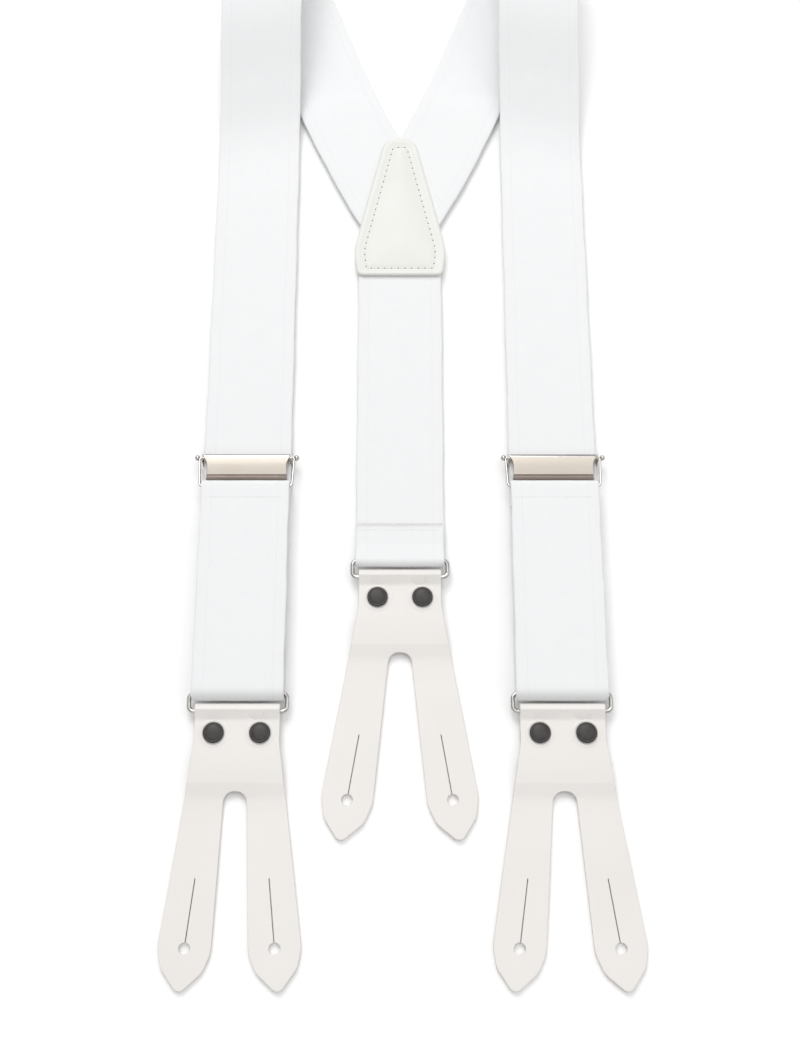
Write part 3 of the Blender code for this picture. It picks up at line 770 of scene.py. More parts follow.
class Path:
    """A line of straight pieces in a plane, measured along itself."""

    def __init__(self, points: list) -> None:
        """Keeps the points and adds up the distances.

        Args:
            points: The line's corners in order.
        """
        self.points = [Vector(p) for p in points]
        self.at = [0.0]
        for a, b in zip(self.points, self.points[1:]):
            self.at.append(self.at[-1] + (b - a).length)

    @property
    def length(self) -> float:
        """The whole length."""
        return self.at[-1]

    def point(self, s: float) -> Vector:
        """Finds a point of the path.

        Args:
            s: A distance along the path.

        Returns:
            The point.
        """
        for i in range(len(self.at) - 1):
            if s <= self.at[i + 1] or i == len(self.at) - 2:
                share = (s - self.at[i]) / max(self.at[i + 1] - self.at[i], 1e-9)
                return self.points[i].lerp(self.points[i + 1], share)
        return self.points[-1].copy()

    def spaced(self, spacing: float) -> list[Vector]:
        """Points at an even spacing along the path, both ends included."""
        count = max(2, round(self.length / spacing))
        return [self.point(self.length * i / count) for i in range(count + 1)]


def smooth_points(points: list, spacing: float) -> list[Vector]:
    """Lays a smooth curve through points.

    Args:
        points: The points, in order.
        spacing: The distance between the curve's own points.

    Returns:
        The curve's points.
    """
    fine = []
    padded = [points[0]] + list(points) + [points[-1]]
    for i in range(1, len(padded) - 2):
        p0, p1, p2, p3 = (Vector(p) for p in padded[i - 1 : i + 3])
        for k in range(16):
            t = k / 16
            a = 2 * p1 + (p2 - p0) * t
            b = (2 * p0 - 5 * p1 + 4 * p2 - p3) * t * t
            c = (3 * p1 - p0 - 3 * p2 + p3) * t**3
            fine.append(0.5 * (a + b + c))
    fine.append(Vector(points[-1]))
    return Path(fine).spaced(spacing)


# ---------------------------------------------------------------- places and sizes


@dataclass(frozen=True)
class Plan:
    """Sizes and places that the looks share with the frame, in metres, before the whole was centred."""

    # webbing
    width: float = 35.0 * MM
    thickness: float = 1.5 * MM
    spacing: float = 123.0 * MM  # between the middles of the front straps
    strap_z: float = 2.85 * MM  # the straps' middle, where they lie flat
    join_y: float = 21.8 * MM  # where a strap meets its adjustable length
    fold_y: float = -69.3 * MM  # the fold round a front ring
    loop_z: float = 4.95 * MM
    loop_radius: float = 3.6 * MM

    # gaps
    touch: float = 0.3 * MM
    running: float = 0.15 * MM

    # rings
    back_ring_y: float = -17.2 * MM
    front_ring_y: float = -70.6 * MM
    ring_bars: float = 6.8 * MM
    ring_z: float = 3.9 * MM
    ring_wire: float = 0.85 * MM  # half the wire's thickness

    # adjuster: the pin that the cover turns on, and the bar that holds the webbing
    pin_y: float = 25.8 * MM
    pin_z: float = 5.45 * MM
    bar_y: float = 13.0 * MM
    bar_z: float = 6.9 * MM

    # leather
    leather: float = 1.8 * MM
    patch_y: float = 110.0 * MM  # the patch's bottom edge
    patch_length: float = 67.6 * MM
    patch_z: float = 2.35 * MM  # the webbing's middle between the patch's leathers
    butt_at: float = 20.0 * MM  # where the back strap meets the arms, above that edge

    @property
    def half(self) -> float:
        """Half the webbing's width."""
        return self.width / 2

    @property
    def shift(self) -> Vector:
        """How far the frame was moved when it was centred, from the back ring's own box."""
        low, high = (Vector(corner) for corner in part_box("ring_back"))
        return Vector(((low.x + high.x) / 2, high.y - self.ring_wire - self.back_ring_y, 0.0))

    def middle(self, which: str) -> float:
        """The X of the middle of a front strap or of the back strap."""
        return {"left": -self.spacing / 2, "right": self.spacing / 2, "back": 0.0}[which]

    def seat(self, piece: Piece) -> Piece:
        """Moves a piece from the plan's place to the frame's."""
        piece.data.transform(Matrix.Translation(self.shift))
        return piece

    def at(self, x: float, y: float, z: float = 0.0) -> Vector:
        """A place of the plan, in the frame."""
        return Vector((x, y, z)) + self.shift


PLAN = Plan()


def hang(piece: Piece, body: str, slot: str, *nodes: str) -> Piece:
    """Moves a piece to the frame's place, and ties it to its body.

    Args:
        piece: The piece.
        body: The body that it moves with.
        slot: Its material slot; not used.
        nodes: The frame's nodes that it replaces.

    Returns:
        The piece.
    """
    PLAN.seat(piece)
    if nodes:
        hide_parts(*nodes)
    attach(piece, body)
    return piece


# ---------------------------------------------------------------- webbing


@dataclass(frozen=True)
class Webbing:
    """A length of elastic webbing with rounded selvedges, laid on rows of points."""

    width: float = PLAN.width
    thickness: float = PLAN.thickness
    columns: int = 14
    selvedge: tuple[tuple[float, float], ...] = ((0.0, 0.28), (0.10, 0.6), (0.32, 0.84), (0.85, 1.0))
    waver: float = 0.10 * MM
    uneven: float = 0.05

    def across(self) -> list[tuple[float, float]]:
        """Places across the webbing.

        Returns:
            Each place, with its share of the full thickness.
        """
        half = self.width / 2
        left = [(-half + inside * MM, share) for inside, share in self.selvedge]
        right = [(-x, share) for x, share in reversed(left)]
        reach = left[-1][0]
        inner = [(reach * (1 - 2 * i / self.columns), 1.0) for i in range(1, self.columns)]
        return left + inner + right

    def faces_of(self, rows: list[list[Vector]], alongs: list[float]) -> tuple[list[Vector], list[Vector]]:
        """Lays the webbing's two faces on its middle surface, uneven as woven yarn is.

        Args:
            rows: The middle surface's points, one list for each place along the webbing.
            alongs: Each row's distance along the webbing.

        Returns:
            The points of the top face, and those of the bottom face.
        """
        places = self.across()
        wide, last = len(places), len(rows) - 2
        runs = [[(b - a).normalized() for a, b in zip(r0, r1)] for r0, r1 in zip(rows, rows[1:])]
        top, bottom = [], []
        for i, (row, s) in enumerate(zip(rows, alongs)):
            for j, (x, share) in enumerate(places):
                run = runs[max(i - 1, 0)][j] + runs[min(i, last)][j]
                side = (row[min(j + 1, wide - 1)] - row[max(j - 1, 0)]).normalized()
                up = side.cross(run).normalized()
                swell = 1 + self.uneven * math.sin(s * 310 + j) * math.sin(j * 1.7 + s * 97)
                edge = (abs(x) * 2 / self.width) ** 6 * (1 if x > 0 else -1)
                drift = math.sin(s * 143 + edge) + 0.6 * math.sin(s * 371 + 2 * edge)
                point = row[j] + side * (self.waver * edge * drift)
                rise = up * (self.thickness / 2 * share * swell)
                top.append(point + rise)
                bottom.append(point - rise)
        return top, bottom

    def skin(self, count: int, wide: int) -> list[tuple[int, int, int, int]]:
        """Joins the two faces' points into a closed skin.

        Args:
            count: The number of rows.
            wide: The number of points in a row.

        Returns:
            The quads, the top face's points counted first.
        """
        low = count * wide
        quads = []
        for i in range(count - 1):
            for j in range(wide - 1):
                a, b = i * wide + j, (i + 1) * wide + j
                quads.append((a, a + 1, b + 1, b))
                quads.append((low + a, low + b, low + b + 1, low + a + 1))
            a, b = i * wide, (i + 1) * wide
            quads.append((a, b, low + b, low + a))
            a, b = a + wide - 1, b + wide - 1
            quads.append((b, a, low + a, low + b))
        last = (count - 1) * wide
        for j in range(wide - 1):
            quads.append((j + 1, j, low + j, low + j + 1))
            quads.append((last + j, last + j + 1, low + last + j + 1, low + last + j))
        return quads

    def weave(self, name: str, rows: list[list[Vector]], alongs: list[float], finish: Material) -> Piece:
        """Makes the closed mesh, with its own UV map in units of 10 mm.

        Args:
            name: The piece's name.
            rows: The middle surface's points, one list for each place along the webbing.
            alongs: Each row's distance along the webbing.
            finish: Its material.

        Returns:
            The piece.
        """
        places = self.across()
        wide = len(places)
        top, bottom = self.faces_of(rows, alongs)
        made = mesh_piece(name, top + bottom, self.skin(len(rows), wide), finish)
        uv = made.data.uv_layers.new(name="webbing")
        for loop in made.data.loops:
            k = loop.vertex_index % len(top)
            uv.data[loop.index].uv = (places[k % wide][0] * UV_SCALE, alongs[k // wide] * UV_SCALE)
        smooth(made, 60.0)
        return made

    def straight(self, name: str, profile: list[Vector], middle: float, finish: Material) -> Piece:
        """Lays the webbing along a line of (y, z) points, straight across.

        Args:
            name: The piece's name.
            profile: The line.
            middle: The X of its middle.
            finish: Its material.

        Returns:
            The piece.
        """
        rows = [[Vector((middle + x, p.x, p.y)) for x, _ in self.across()] for p in profile]
        return self.weave(name, rows, Path(profile).at, finish)


@dataclass
class ShoulderStrap:
    """One strap: down the front, over the shoulder fold, and back to the patch."""

    side: Side
    wardrobe: Wardrobe
    crest_y: float = 258.0 * MM
    crest_z: float = 31.0 * MM
    arms_cross_at: float = 17.4 * MM
    arm_turn: float = math.radians(11.0)
    arm_turn_length: float = 80.0 * MM
    patch_best_width: float = 39.3 * MM
    row_spacing: float = 2.5 * MM
    off_front: float = 5.0 * MM
    arm_top: float = 8.0 * MM
    stretch_from_y: float = 96.0 * MM
    unstretched: float = 6.0 * MM
    webbing: Webbing = field(default_factory=Webbing)

    def profile(self) -> list[tuple[float, float] | Vector]:
        """The strap seen from the side, from the front, over the shoulder and back to the patch.

        Returns:
            Its middle, as points (y, z).
        """
        crest, z, up = self.crest_y, PLAN.strap_z, self.crest_z
        table = PLAN.thickness / 2 + PLAN.touch
        radius = (up - table) / 2
        front = [
            (PLAN.join_y, z),
            (crest - 120 * MM, z),
            (crest - 84 * MM, z + 0.02 * up),
            (crest - 58 * MM, 0.37 * up),
            (crest - 30 * MM, 0.77 * up),
        ]
        back = [
            (crest - 30 * MM, table),
            (crest - 60 * MM, table),
            (PLAN.patch_y + PLAN.patch_length, PLAN.patch_z),
            (PLAN.patch_y - 10 * MM, PLAN.patch_z),
        ]
        return front + arc((crest, table + radius), radius, 90, -90, 8) + back

    def rows(self) -> tuple[list[list[Vector]], list[float]]:
        """Lays the strap on a bent sheet whose straight lines are tilted, its arm turned to the middle.

        Returns:
            The rows of points, and each row's distance along the strap.
        """
        line = Path(smooth_points(self.profile(), 1.0 * MM))
        tilt = math.atan2(PLAN.spacing / 2, self.crest_y - PLAN.patch_y + self.arms_cross_at) / 2
        across = Vector((math.cos(tilt), -math.sin(tilt)))
        along = Vector((math.sin(tilt), math.cos(tilt)))
        start = Vector((PLAN.spacing / 2, PLAN.join_y))
        start_b = start.dot(along)
        at = Vector((start.dot(across), start_b))
        end_b = start_b + line.length - self.patch_best_width / 2
        heading, rows, alongs, done = tilt, [], [], 0.0
        sign = self.side.value
        while at.y < end_b:
            run = Vector((-math.sin(heading), math.cos(heading)))
            edge = Vector((run.y, -run.x))
            row = []
            for x, _ in self.webbing.across():
                corner = at + edge * (x * sign)
                s = corner.y - start_b
                level = Vector((PLAN.join_y + s, PLAN.strap_z)) if s < 0 else line.point(min(s, line.length))
                flat = across * corner.x + along * (level.x - PLAN.join_y + start_b)
                row.append(Vector((sign * flat.x, flat.y, level.y)))
            rows.append(row)
            alongs.append(done)
            at = at + run * self.row_spacing
            done += self.row_spacing
            turned_part = 1 - (end_b - at.y) / self.arm_turn_length
            heading = tilt + self.arm_turn * max(0.0, turned_part)
        return rows, alongs

    def build(self) -> Piece:
        """Makes the strap and cuts its arm's end under the patch.

        Returns:
            The strap.
        """
        rows, alongs = self.rows()
        name = f"strap_{self.side.label}"
        strap = self.webbing.weave(name, rows, alongs, self.wardrobe.webbing)
        butt_y = PLAN.patch_y + PLAN.butt_at
        clear = (PLAN.spacing - PLAN.width) / 2 - self.off_front
        sign = self.side.value
        self.trim(strap, Vector((sign * PLAN.touch / 2, 0, 0)), Vector((-sign, 0, 0)), clear)
        self.trim(strap, Vector((0, butt_y, 0)), Vector((0, -1, 0)), clear)
        PLAN.seat(strap)
        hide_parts(f"shoulder_strap_{self.side.label}")
        x = PLAN.middle(self.side.label)
        fixed, moved = PLAN.at(x, self.stretch_from_y), PLAN.at(x, PLAN.join_y + self.unstretched)
        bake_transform(strap)
        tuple(fixed)
        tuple(moved)
        return strap

    def trim(self, strap: Piece, at: Vector, outwards: Vector, clear: float) -> None:
        """Cuts off what lies past a plane, on the arm that lies near the middle.

        Args:
            strap: The strap.
            at: A point of the plane.
            outwards: The side that is cut off.
            clear: How far from the middle the arm reaches.
        """
        choose(strap, lambda point: abs(point.x) < clear and point.z < self.arm_top)
        bpy.ops.object.mode_set(mode="EDIT")
        bpy.ops.mesh.bisect(plane_co=at, plane_no=outwards, use_fill=True, clear_outer=True)
        bpy.ops.object.mode_set(mode="OBJECT")


@dataclass
class Stitch:
    """A row of stitches: short threads that dip into needle holes."""

    wardrobe: Wardrobe
    pitch: float = 2.85 * MM
    length: float = 2.1 * MM
    radius: float = 0.26 * MM
    hole: float = 0.36 * MM
    sag: float = 1.5
    slant: float = 0.09

    def thread(self) -> Piece:
        """One thread, lying along X, whose ends dip down.

        Returns:
            The thread.
        """
        size = {"radius": self.radius, "depth": self.length}
        bpy.ops.mesh.primitive_cylinder_add(vertices=6, end_fill_type="TRIFAN", **size)
        made = bpy.context.active_object
        take(made)
        bpy.ops.object.mode_set(mode="EDIT")
        for share in (-0.33, 0.0, 0.33):
            bpy.ops.mesh.select_all(action="SELECT")
            bpy.ops.mesh.bisect(plane_co=(0, 0, share * self.length), plane_no=(0, 0, 1))
        bpy.ops.object.mode_set(mode="OBJECT")
        made.data.transform(Matrix.Rotation(math.pi / 2, 4, "Y"))
        for vertex in made.data.vertices:
            reach = abs(vertex.co.x) * 2 / self.length
            vertex.co.z -= self.sag * self.radius * reach**3
            vertex.co.y *= 1 - 0.35 * reach**2
        made.data.materials.append(self.wardrobe.thread)
        return made

    def shaded_needle_hole(self) -> Piece:
        """One needle hole, a shallow dimple coloured dark as painted shade inside the hole.

        Returns:
            The hole.
        """
        size = {"radius1": self.hole, "radius2": self.hole * 0.6, "depth": 0.12 * MM}
        bpy.ops.mesh.primitive_cone_add(vertices=8, **size)
        made = bpy.context.active_object
        take(made)
        # the dark finish is painted shade inside the needle hole
        made.data.materials.append(self.wardrobe.hole)
        return made

    def sew(self, name: str, line: list[Vector], closed: bool) -> Piece:
        """Sews along a line of points in space.

        Args:
            name: The piece's name.
            line: The stitch line's points, on the surface.
            closed: Whether the line comes back to its start.

        Returns:
            The whole row as one piece.
        """
        points = [Vector(p) for p in line] + ([Vector(line[0])] if closed else [])
        path = Path(points)
        count = max(1, round(path.length / self.pitch))
        model, dimple = self.thread(), self.shaded_needle_hole()
        model.name = name
        pieces = []
        for i in range(count):
            s = path.length * (i + 0.5) / count
            before = path.point(max(s - self.pitch / 2, 0))
            after = path.point(min(s + self.pitch / 2, path.length))
            run = (after - before).normalized()
            up = Vector((0, 0, 1))
            side = up.cross(run).normalized()
            turn = Matrix((run, side, run.cross(side))).transposed().to_4x4()
            lean = Matrix.Rotation(self.slant * math.sin(i * 2.3), 4, "Z")
            place = Matrix.Translation(path.point(s)) @ turn
            pieces.append(copy_piece(model, f"{name}_{i}", place @ lean))
            at = Matrix.Translation(before - path.point(s)) @ place
            pieces.append(copy_piece(dimple, f"{name}_hole_{i}", at))
        for old in (model, dimple):
            bpy.data.objects.remove(old)
        made = join(name, pieces)
        smooth(made, 50.0)
        return made

    @classmethod
    def across(cls, name: str, wardrobe: Wardrobe, pitch: float, ends: list[Vector]) -> Piece:
        """Sews a fine row across a strap's hem.

        Args:
            name: The row's name.
            wardrobe: The finishes.
            pitch: The length of a stitch with its gap.
            ends: The row's two ends on the webbing's surface.

        Returns:
            The row.
        """
        fine = cls(wardrobe, pitch=pitch, length=1.7 * MM, radius=0.17 * MM, hole=0.16 * MM)
        return fine.sew(name, [end - Vector((0, 0, 0.02 * MM)) for end in ends], False)


@dataclass
class AdjustableLoop:
    """The webbing under an adjuster: down behind, round the ring, and up to the frame's lower bar."""

    side: Side
    wardrobe: Wardrobe
    settles: tuple[float, float] = (24.0 * MM, 8.0 * MM)
    hem_tail: float = 8.0 * MM
    hem_round: float = 1.65 * MM
    sewn_below: float = 5.4 * MM
    sewn_inside: float = 2.2 * MM
    stitch_pitch: float = 2.4 * MM
    webbing: Webbing = field(default_factory=Webbing)

    def rear_line(self) -> list[Vector]:
        """The rear layer from the side: from the ring up to where it joins the strap.

        Returns:
            Its middle, as points (y, z).
        """
        low_z = PLAN.loop_z - PLAN.loop_radius
        points = [
            (PLAN.join_y, PLAN.strap_z),
            (PLAN.fold_y + 2 * self.settles[0], PLAN.strap_z),
            (PLAN.fold_y + self.settles[0], PLAN.strap_z - 0.08 * MM),
            (PLAN.fold_y + self.settles[1], low_z + 0.05 * MM),
            (PLAN.fold_y + 0.02 * MM, low_z),
        ]
        return list(reversed(smooth_points(points, 2.0 * MM)))

    def front_line(self) -> list[Vector]:
        """The front layer from the side: round the ring, up to the frame's bar and under it.

        Returns:
            Its middle, as points (y, z).
        """
        top_z = PLAN.loop_z + PLAN.loop_radius
        tail_z = PLAN.bar_z - self.hem_round
        rise = Path([(PLAN.fold_y, top_z), (PLAN.bar_y, top_z)]).spaced(2.0 * MM)
        tail = Path([(PLAN.bar_y, tail_z), (PLAN.bar_y - self.hem_tail, tail_z)]).spaced(1.0 * MM)
        line = arc((PLAN.fold_y, PLAN.loop_z), PLAN.loop_radius, 270, 90, 26) + rise[1:-1]
        return line + arc((PLAN.bar_y, PLAN.bar_z), self.hem_round, 90, -90, 18) + tail[1:]

    def build(self) -> list[Piece]:
        """Makes the rear layer, the front layer with its hem, and the hem's stitches.

        Returns:
            The three pieces.
        """
        label, cloth = self.side.label, self.wardrobe.webbing
        middle = PLAN.middle(label)
        rear_line, front_line = self.rear_line(), self.front_line()
        rear = self.webbing.straight(f"loop_back_{label}", rear_line, middle, cloth)
        front = self.webbing.straight(f"loop_face_{label}", front_line, middle, cloth)
        over = PLAN.loop_z + PLAN.loop_radius + PLAN.thickness / 2
        reach = PLAN.half - self.sewn_inside
        ends = [Vector((middle + way * reach, PLAN.bar_y - self.sewn_below, over)) for way in (-1, 1)]
        sewn = Stitch.across(f"hem_stitches_{label}", self.wardrobe, self.stitch_pitch, ends)
        for piece in (rear, front, sewn):
            PLAN.seat(piece)
        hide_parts(f"loop_rear_{label}")
        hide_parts(f"loop_front_{label}")
        Path(rear_line).length
        Path(front_line).length
        above, below = PLAN.at(middle, PLAN.join_y - MM), PLAN.at(middle, PLAN.fold_y + 3 * MM)
        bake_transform(rear)
        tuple(above)
        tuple(below)
        turn = PLAN.at(middle, PLAN.fold_y + 6 * MM)
        hem = PLAN.at(middle, PLAN.bar_y - self.hem_tail - 4 * MM)
        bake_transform(front)
        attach(sewn, f"adjuster_{label}")
        return [rear, front, sewn]


@dataclass
class BackStrap:
    """The back strap, from the patch down and round the ring to its sewn hem."""

    wardrobe: Wardrobe
    hem_tail: float = 15.0 * MM
    round_wire: float = 1.9 * MM
    sewn_inside: float = 1.5 * MM
    sewn_below: float = 2.4 * MM
    stitch_pitch: float = 2.2 * MM
    overcast_pitch: float = 0.62 * MM
    overcast_thread: float = 0.11 * MM
    webbing: Webbing = field(default_factory=Webbing)

    @property
    def low_z(self) -> float:
        """The middle of the layer under the ring's bar."""
        return PLAN.ring_z - self.round_wire

    @property
    def tail_z(self) -> float:
        """The middle of the hem, which lies on that layer."""
        return self.low_z + PLAN.thickness + PLAN.touch

    def line(self) -> list[Vector]:
        """The strap seen from the side: from the patch to the ring, round it and back.

        Returns:
            Its middle, as points (y, z).
        """
        low_z, tail_z, ring_y = self.low_z, self.tail_z, PLAN.back_ring_y
        points = [
            (PLAN.patch_y + PLAN.butt_at - PLAN.touch, PLAN.patch_z),
            (PLAN.patch_y - 12 * MM, PLAN.patch_z),
            (PLAN.patch_y - 30 * MM, PLAN.patch_z - 0.05 * MM),
            (ring_y + 55 * MM, low_z + 0.02 * MM),
            (ring_y + 35 * MM, low_z),
            (ring_y + 6 * MM, low_z),
            (ring_y, low_z),
        ]
        line = smooth_points(points, 2.0 * MM)[:-1]
        line += arc((ring_y, PLAN.ring_z), self.round_wire, 270, 90, 22)
        return line + Path([(ring_y + 6 * MM, tail_z), (ring_y + self.hem_tail, tail_z)]).spaced(1.0 * MM)

    def build(self) -> list[Piece]:
        """Makes the strap, the overcast stitches on the hem's raw end, and the row through the hem.

        Returns:
            The three pieces.
        """
        line = self.line()
        strap = self.webbing.straight("strap_back", line, 0.0, self.wardrobe.webbing)
        raw_end = PLAN.back_ring_y + self.hem_tail
        over = self.tail_z + PLAN.thickness / 2
        overcast = self.overcast(raw_end, self.low_z + PLAN.thickness / 2, over)
        reach = PLAN.half - self.sewn_inside
        ends = [Vector((way * reach, raw_end - self.sewn_below, over)) for way in (-1, 1)]
        sewn = Stitch.across("back_hem_stitches", self.wardrobe, self.stitch_pitch, ends)
        for piece in (strap, overcast, sewn):
            PLAN.seat(piece)
        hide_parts("back_strap", "back_strap_hem")
        Path(line).length
        PLAN.at(0, 90 * MM)
        PLAN.at(0, PLAN.back_ring_y + 28 * MM)
        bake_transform(strap)
        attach(overcast, "back_end")
        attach(sewn, "back_end")
        return [strap, overcast, sewn]

    def overcast(self, y: float, low_z: float, high_z: float) -> Piece:
        """Threads that run to and fro over the hem's raw end.

        Args:
            y: The raw end.
            low_z: The surface of the layer beneath.
            high_z: The surface of the hem.

        Returns:
            The row of threads.
        """
        edge, pitch = 0.4 * MM, self.overcast_pitch
        halfway = (low_z + high_z) / 2
        points = []
        for i in range(int((PLAN.width - 2 * edge) / pitch)):
            x = -PLAN.half + edge + i * pitch
            reach = 0.25 * MM * math.sin(i * 1.9)
            points += [
                Vector((x, y - 1.1 * MM + reach, high_z + 0.08 * MM)),
                Vector((x + 0.12 * pitch, y + 0.05 * MM, high_z + 0.14 * MM)),
                Vector((x + 0.3 * pitch, y + 0.42 * MM, halfway)),
                Vector((x + 0.45 * pitch, y + 0.75 * MM + reach, low_z + 0.12 * MM)),
                Vector((x + 0.7 * pitch, y + 0.45 * MM, halfway)),
                Vector((x + 0.88 * pitch, y + 0.05 * MM, high_z + 0.14 * MM)),
            ]
        return wire("back_hem_overcast", points, self.overcast_thread, False, self.wardrobe.thread)


# ---------------------------------------------------------------- metal


def cut_plate(
    name: str, outlines: list[list[Vector]], thickness: float, rounding: float, finish: Material
) -> Piece:
    """A flat plate in XY with rounded edges, cut to outlines, the first outside and the rest holes.

    Args:
        name: The piece's name.
        outlines: Closed lines of points.
        thickness: The plate's thickness, half on each side of z = 0.
        rounding: The radius of its edges.
        finish: Its material.

    Returns:
        The plate.
    """
    curve = bpy.data.curves.new(name, "CURVE")
    curve.dimensions = "2D"
    curve.fill_mode = "BOTH"
    curve.extrude = thickness / 2 - rounding
    curve.bevel_depth = rounding
    curve.bevel_resolution = 2
    curve.offset = -rounding
    for points in outlines:
        spline = curve.splines.new("POLY")
        spline.points.add(len(points) - 1)
        for point, at in zip(spline.points, points):
            point.co = (at[0], at[1], 0.0, 1.0)
        spline.use_cyclic_u = True
    made = bpy.data.objects.new(name, curve)
    bpy.context.scene.collection.objects.link(made)
    take(made)
    bpy.ops.object.convert(target="MESH")
    made = bpy.context.view_layer.objects.active
    made.data.materials.clear()
    made.data.materials.append(finish)
    mend(made, 0.000002)
    return made


def even_normals(piece: Piece, degrees: float = 50.0) -> None:
    """Shades a plate smooth with the large faces' normals kept flat.

    Args:
        piece: The plate.
        degrees: Edges sharper than this stay sharp.
    """
    smooth(piece, degrees)
    weighted = piece.modifiers.new("even", "WEIGHTED_NORMAL")
    weighted.keep_sharp = True
    weighted.weight = 90
    apply_all(piece)


@dataclass
class Ring:
    """A rounded rectangle of nickelled wire between the webbing and a tab."""

    which: str
    wardrobe: Wardrobe
    side_gap: float = 0.3 * MM
    corner: float = 1.95 * MM

    @property
    def bar_y(self) -> float:
        """The bar that the webbing goes round."""
        return PLAN.back_ring_y if self.which == "back" else PLAN.front_ring_y

    def build(self) -> Piece:
        """Bends the wire and hangs it on its body.

        Returns:
            The ring.
        """
        middle = PLAN.middle(self.which)
        end_x = PLAN.half + self.side_gap + PLAN.ring_wire
        far_y = self.bar_y - PLAN.ring_bars
        corners = [(end_x, far_y), (end_x, self.bar_y), (-end_x, self.bar_y), (-end_x, far_y)]
        flat = rounded_outline([(x, y, self.corner) for x, y in corners], 9)
        points = [Vector((middle + p.x, p.y, PLAN.ring_z)) for p in flat]
        made = wire(f"wire_ring_{self.which}", points, PLAN.ring_wire, True, self.wardrobe.polished)
        return hang(made, f"ring_{self.which}", "nickel", f"ring_{self.which}")


@dataclass
class Adjuster:
    """The clamp adjuster: a ball-ended wire frame, a back plate with ears, and a toothed cover."""

    side: Side
    wardrobe: Wardrobe
    wire_radius: float = 0.47 * MM
    leg_x: float = 19.0 * MM
    foot_x: float = 18.35 * MM
    length: float = 12.8 * MM
    ball: float = 1.15 * MM
    ear_inside: float = 17.8 * MM
    ear_sheet: float = 0.4 * MM
    ear_length: float = 3.4 * MM
    plate_length: float = 12.0 * MM
    plate_sheet: float = 0.8 * MM
    sheet: float = 0.8 * MM
    roll: float = 1.15 * MM
    cover_half: float = 17.2 * MM
    waist_half: float = 15.9 * MM
    crease_at: float = 7.4 * MM
    cover_length: float = 9.6 * MM
    lip_flare: float = 0.35 * MM
    tooth: tuple[float, float] = (0.35 * MM, 0.3 * MM)
    columns: int = 90

    def build(self) -> list[Piece]:
        """Makes the three parts and hangs them on their bodies.

        Returns:
            The frame, the plate and the cover.
        """
        label = self.side.label
        pin = Matrix.Translation((PLAN.middle(label), PLAN.pin_y, PLAN.pin_z))
        parts = [
            (self.wire_frame(label), "adjuster", "adjuster_frame"),
            (self.plate(label), "adjuster", "adjuster_plate"),
            (self.cover(label), "cover", "adjuster_cover"),
        ]
        for piece, body, node in parts:
            piece.data.transform(pin)
            hang(piece, f"{body}_{label}", "nickel", f"{node}_{label}")
        return [piece for piece, _, _ in parts]

    def wire_frame(self, label: str) -> Piece:
        """The frame's wire with a ball at each top corner, about the pin's middle.

        Args:
            label: The side's word.

        Returns:
            The frame.
        """
        corner = 1.3 * MM
        flat = rounded_outline(
            [
                (-self.leg_x, 0.0, 0.7 * MM),
                (-self.foot_x, -self.length, corner),
                (self.foot_x, -self.length, corner),
                (self.leg_x, 0.0, 0.7 * MM),
            ],
            7,
        )
        drop = (PLAN.bar_z - PLAN.pin_z) / self.length
        points = [Vector((p.x, p.y, -p.y * drop)) for p in flat]
        parts = [wire("bail", points, self.wire_radius, True, self.wardrobe.polished)]
        round_side = [tuple(p) for p in arc((0, 0), self.ball, 78, -78, 13)]
        profile = [(0.0, self.ball), *round_side, (0.0, -self.ball)]
        for way in (-1, 1):
            ball = turned(f"ball_{way}", profile, self.wardrobe.polished, 24)
            squat = Matrix.Diagonal((0.94, 1.0, 1.0, 1.0))
            ball.data.transform(Matrix.Translation((way * (self.leg_x + 0.8 * self.ball), 0, 0)) @ squat)
            smooth(ball, 60.0)
            parts.append(ball)
        return join(f"bail_{label}", parts)

    def plate(self, label: str) -> Piece:
        """The back plate under the strap, with an ear at each end that holds the pin.

        Args:
            label: The side's word.

        Returns:
            The plate.
        """
        outside = self.ear_inside + self.ear_sheet
        top = PLAN.strap_z - PLAN.thickness / 2 - PLAN.touch - PLAN.pin_z
        low = top - self.plate_sheet
        front_y = self.ear_length / 2
        back_y = front_y - self.plate_length
        lip = 1.6 * MM
        waist = outside - 1.1 * MM
        flat = rounded_outline(
            [
                (-outside, front_y, 0.5 * MM),
                (-outside, front_y - self.ear_length, 0.8 * MM),
                (-waist, front_y - self.ear_length - lip, 1.2 * MM),
                (-waist, back_y, 1.0 * MM),
                (waist, back_y, 1.0 * MM),
                (waist, front_y - self.ear_length - lip, 1.2 * MM),
                (outside, front_y - self.ear_length, 0.8 * MM),
                (outside, front_y, 0.5 * MM),
            ],
            6,
        )
        base = cut_plate("base", [flat], self.plate_sheet, 0.12 * MM, self.wardrobe.brushed)
        base.data.transform(Matrix.Translation((0, 0, (top + low) / 2)))
        parts = [base]
        ear_top = self.wire_radius + PLAN.running + 0.55 * MM
        hole = self.wire_radius + PLAN.running
        side_view = rounded_outline(
            [
                (front_y, low + 0.05 * MM, 0.2 * MM),
                (front_y, ear_top, 1.3 * MM),
                (front_y - self.ear_length, ear_top, 1.3 * MM),
                (front_y - self.ear_length - 0.3 * MM, low + 0.05 * MM, 0.2 * MM),
            ],
            7,
        )
        upright = Matrix(((0, 0, 1, 0), (1, 0, 0, 0), (0, 1, 0, 0), (0, 0, 0, 1)))
        outlines = [side_view, arc((0, 0), hole, 0, 345, 23)]
        for way in (-1, 1):
            ear = cut_plate("ear", outlines, self.ear_sheet, 0.1 * MM, self.wardrobe.brushed)
            place = Matrix.Translation((way * (self.ear_inside + self.ear_sheet / 2), 0, 0))
            ear.data.transform(place @ upright)
            parts.append(ear)
        made = join(f"clamp_plate_{label}", parts)
        even_normals(made)
        return made

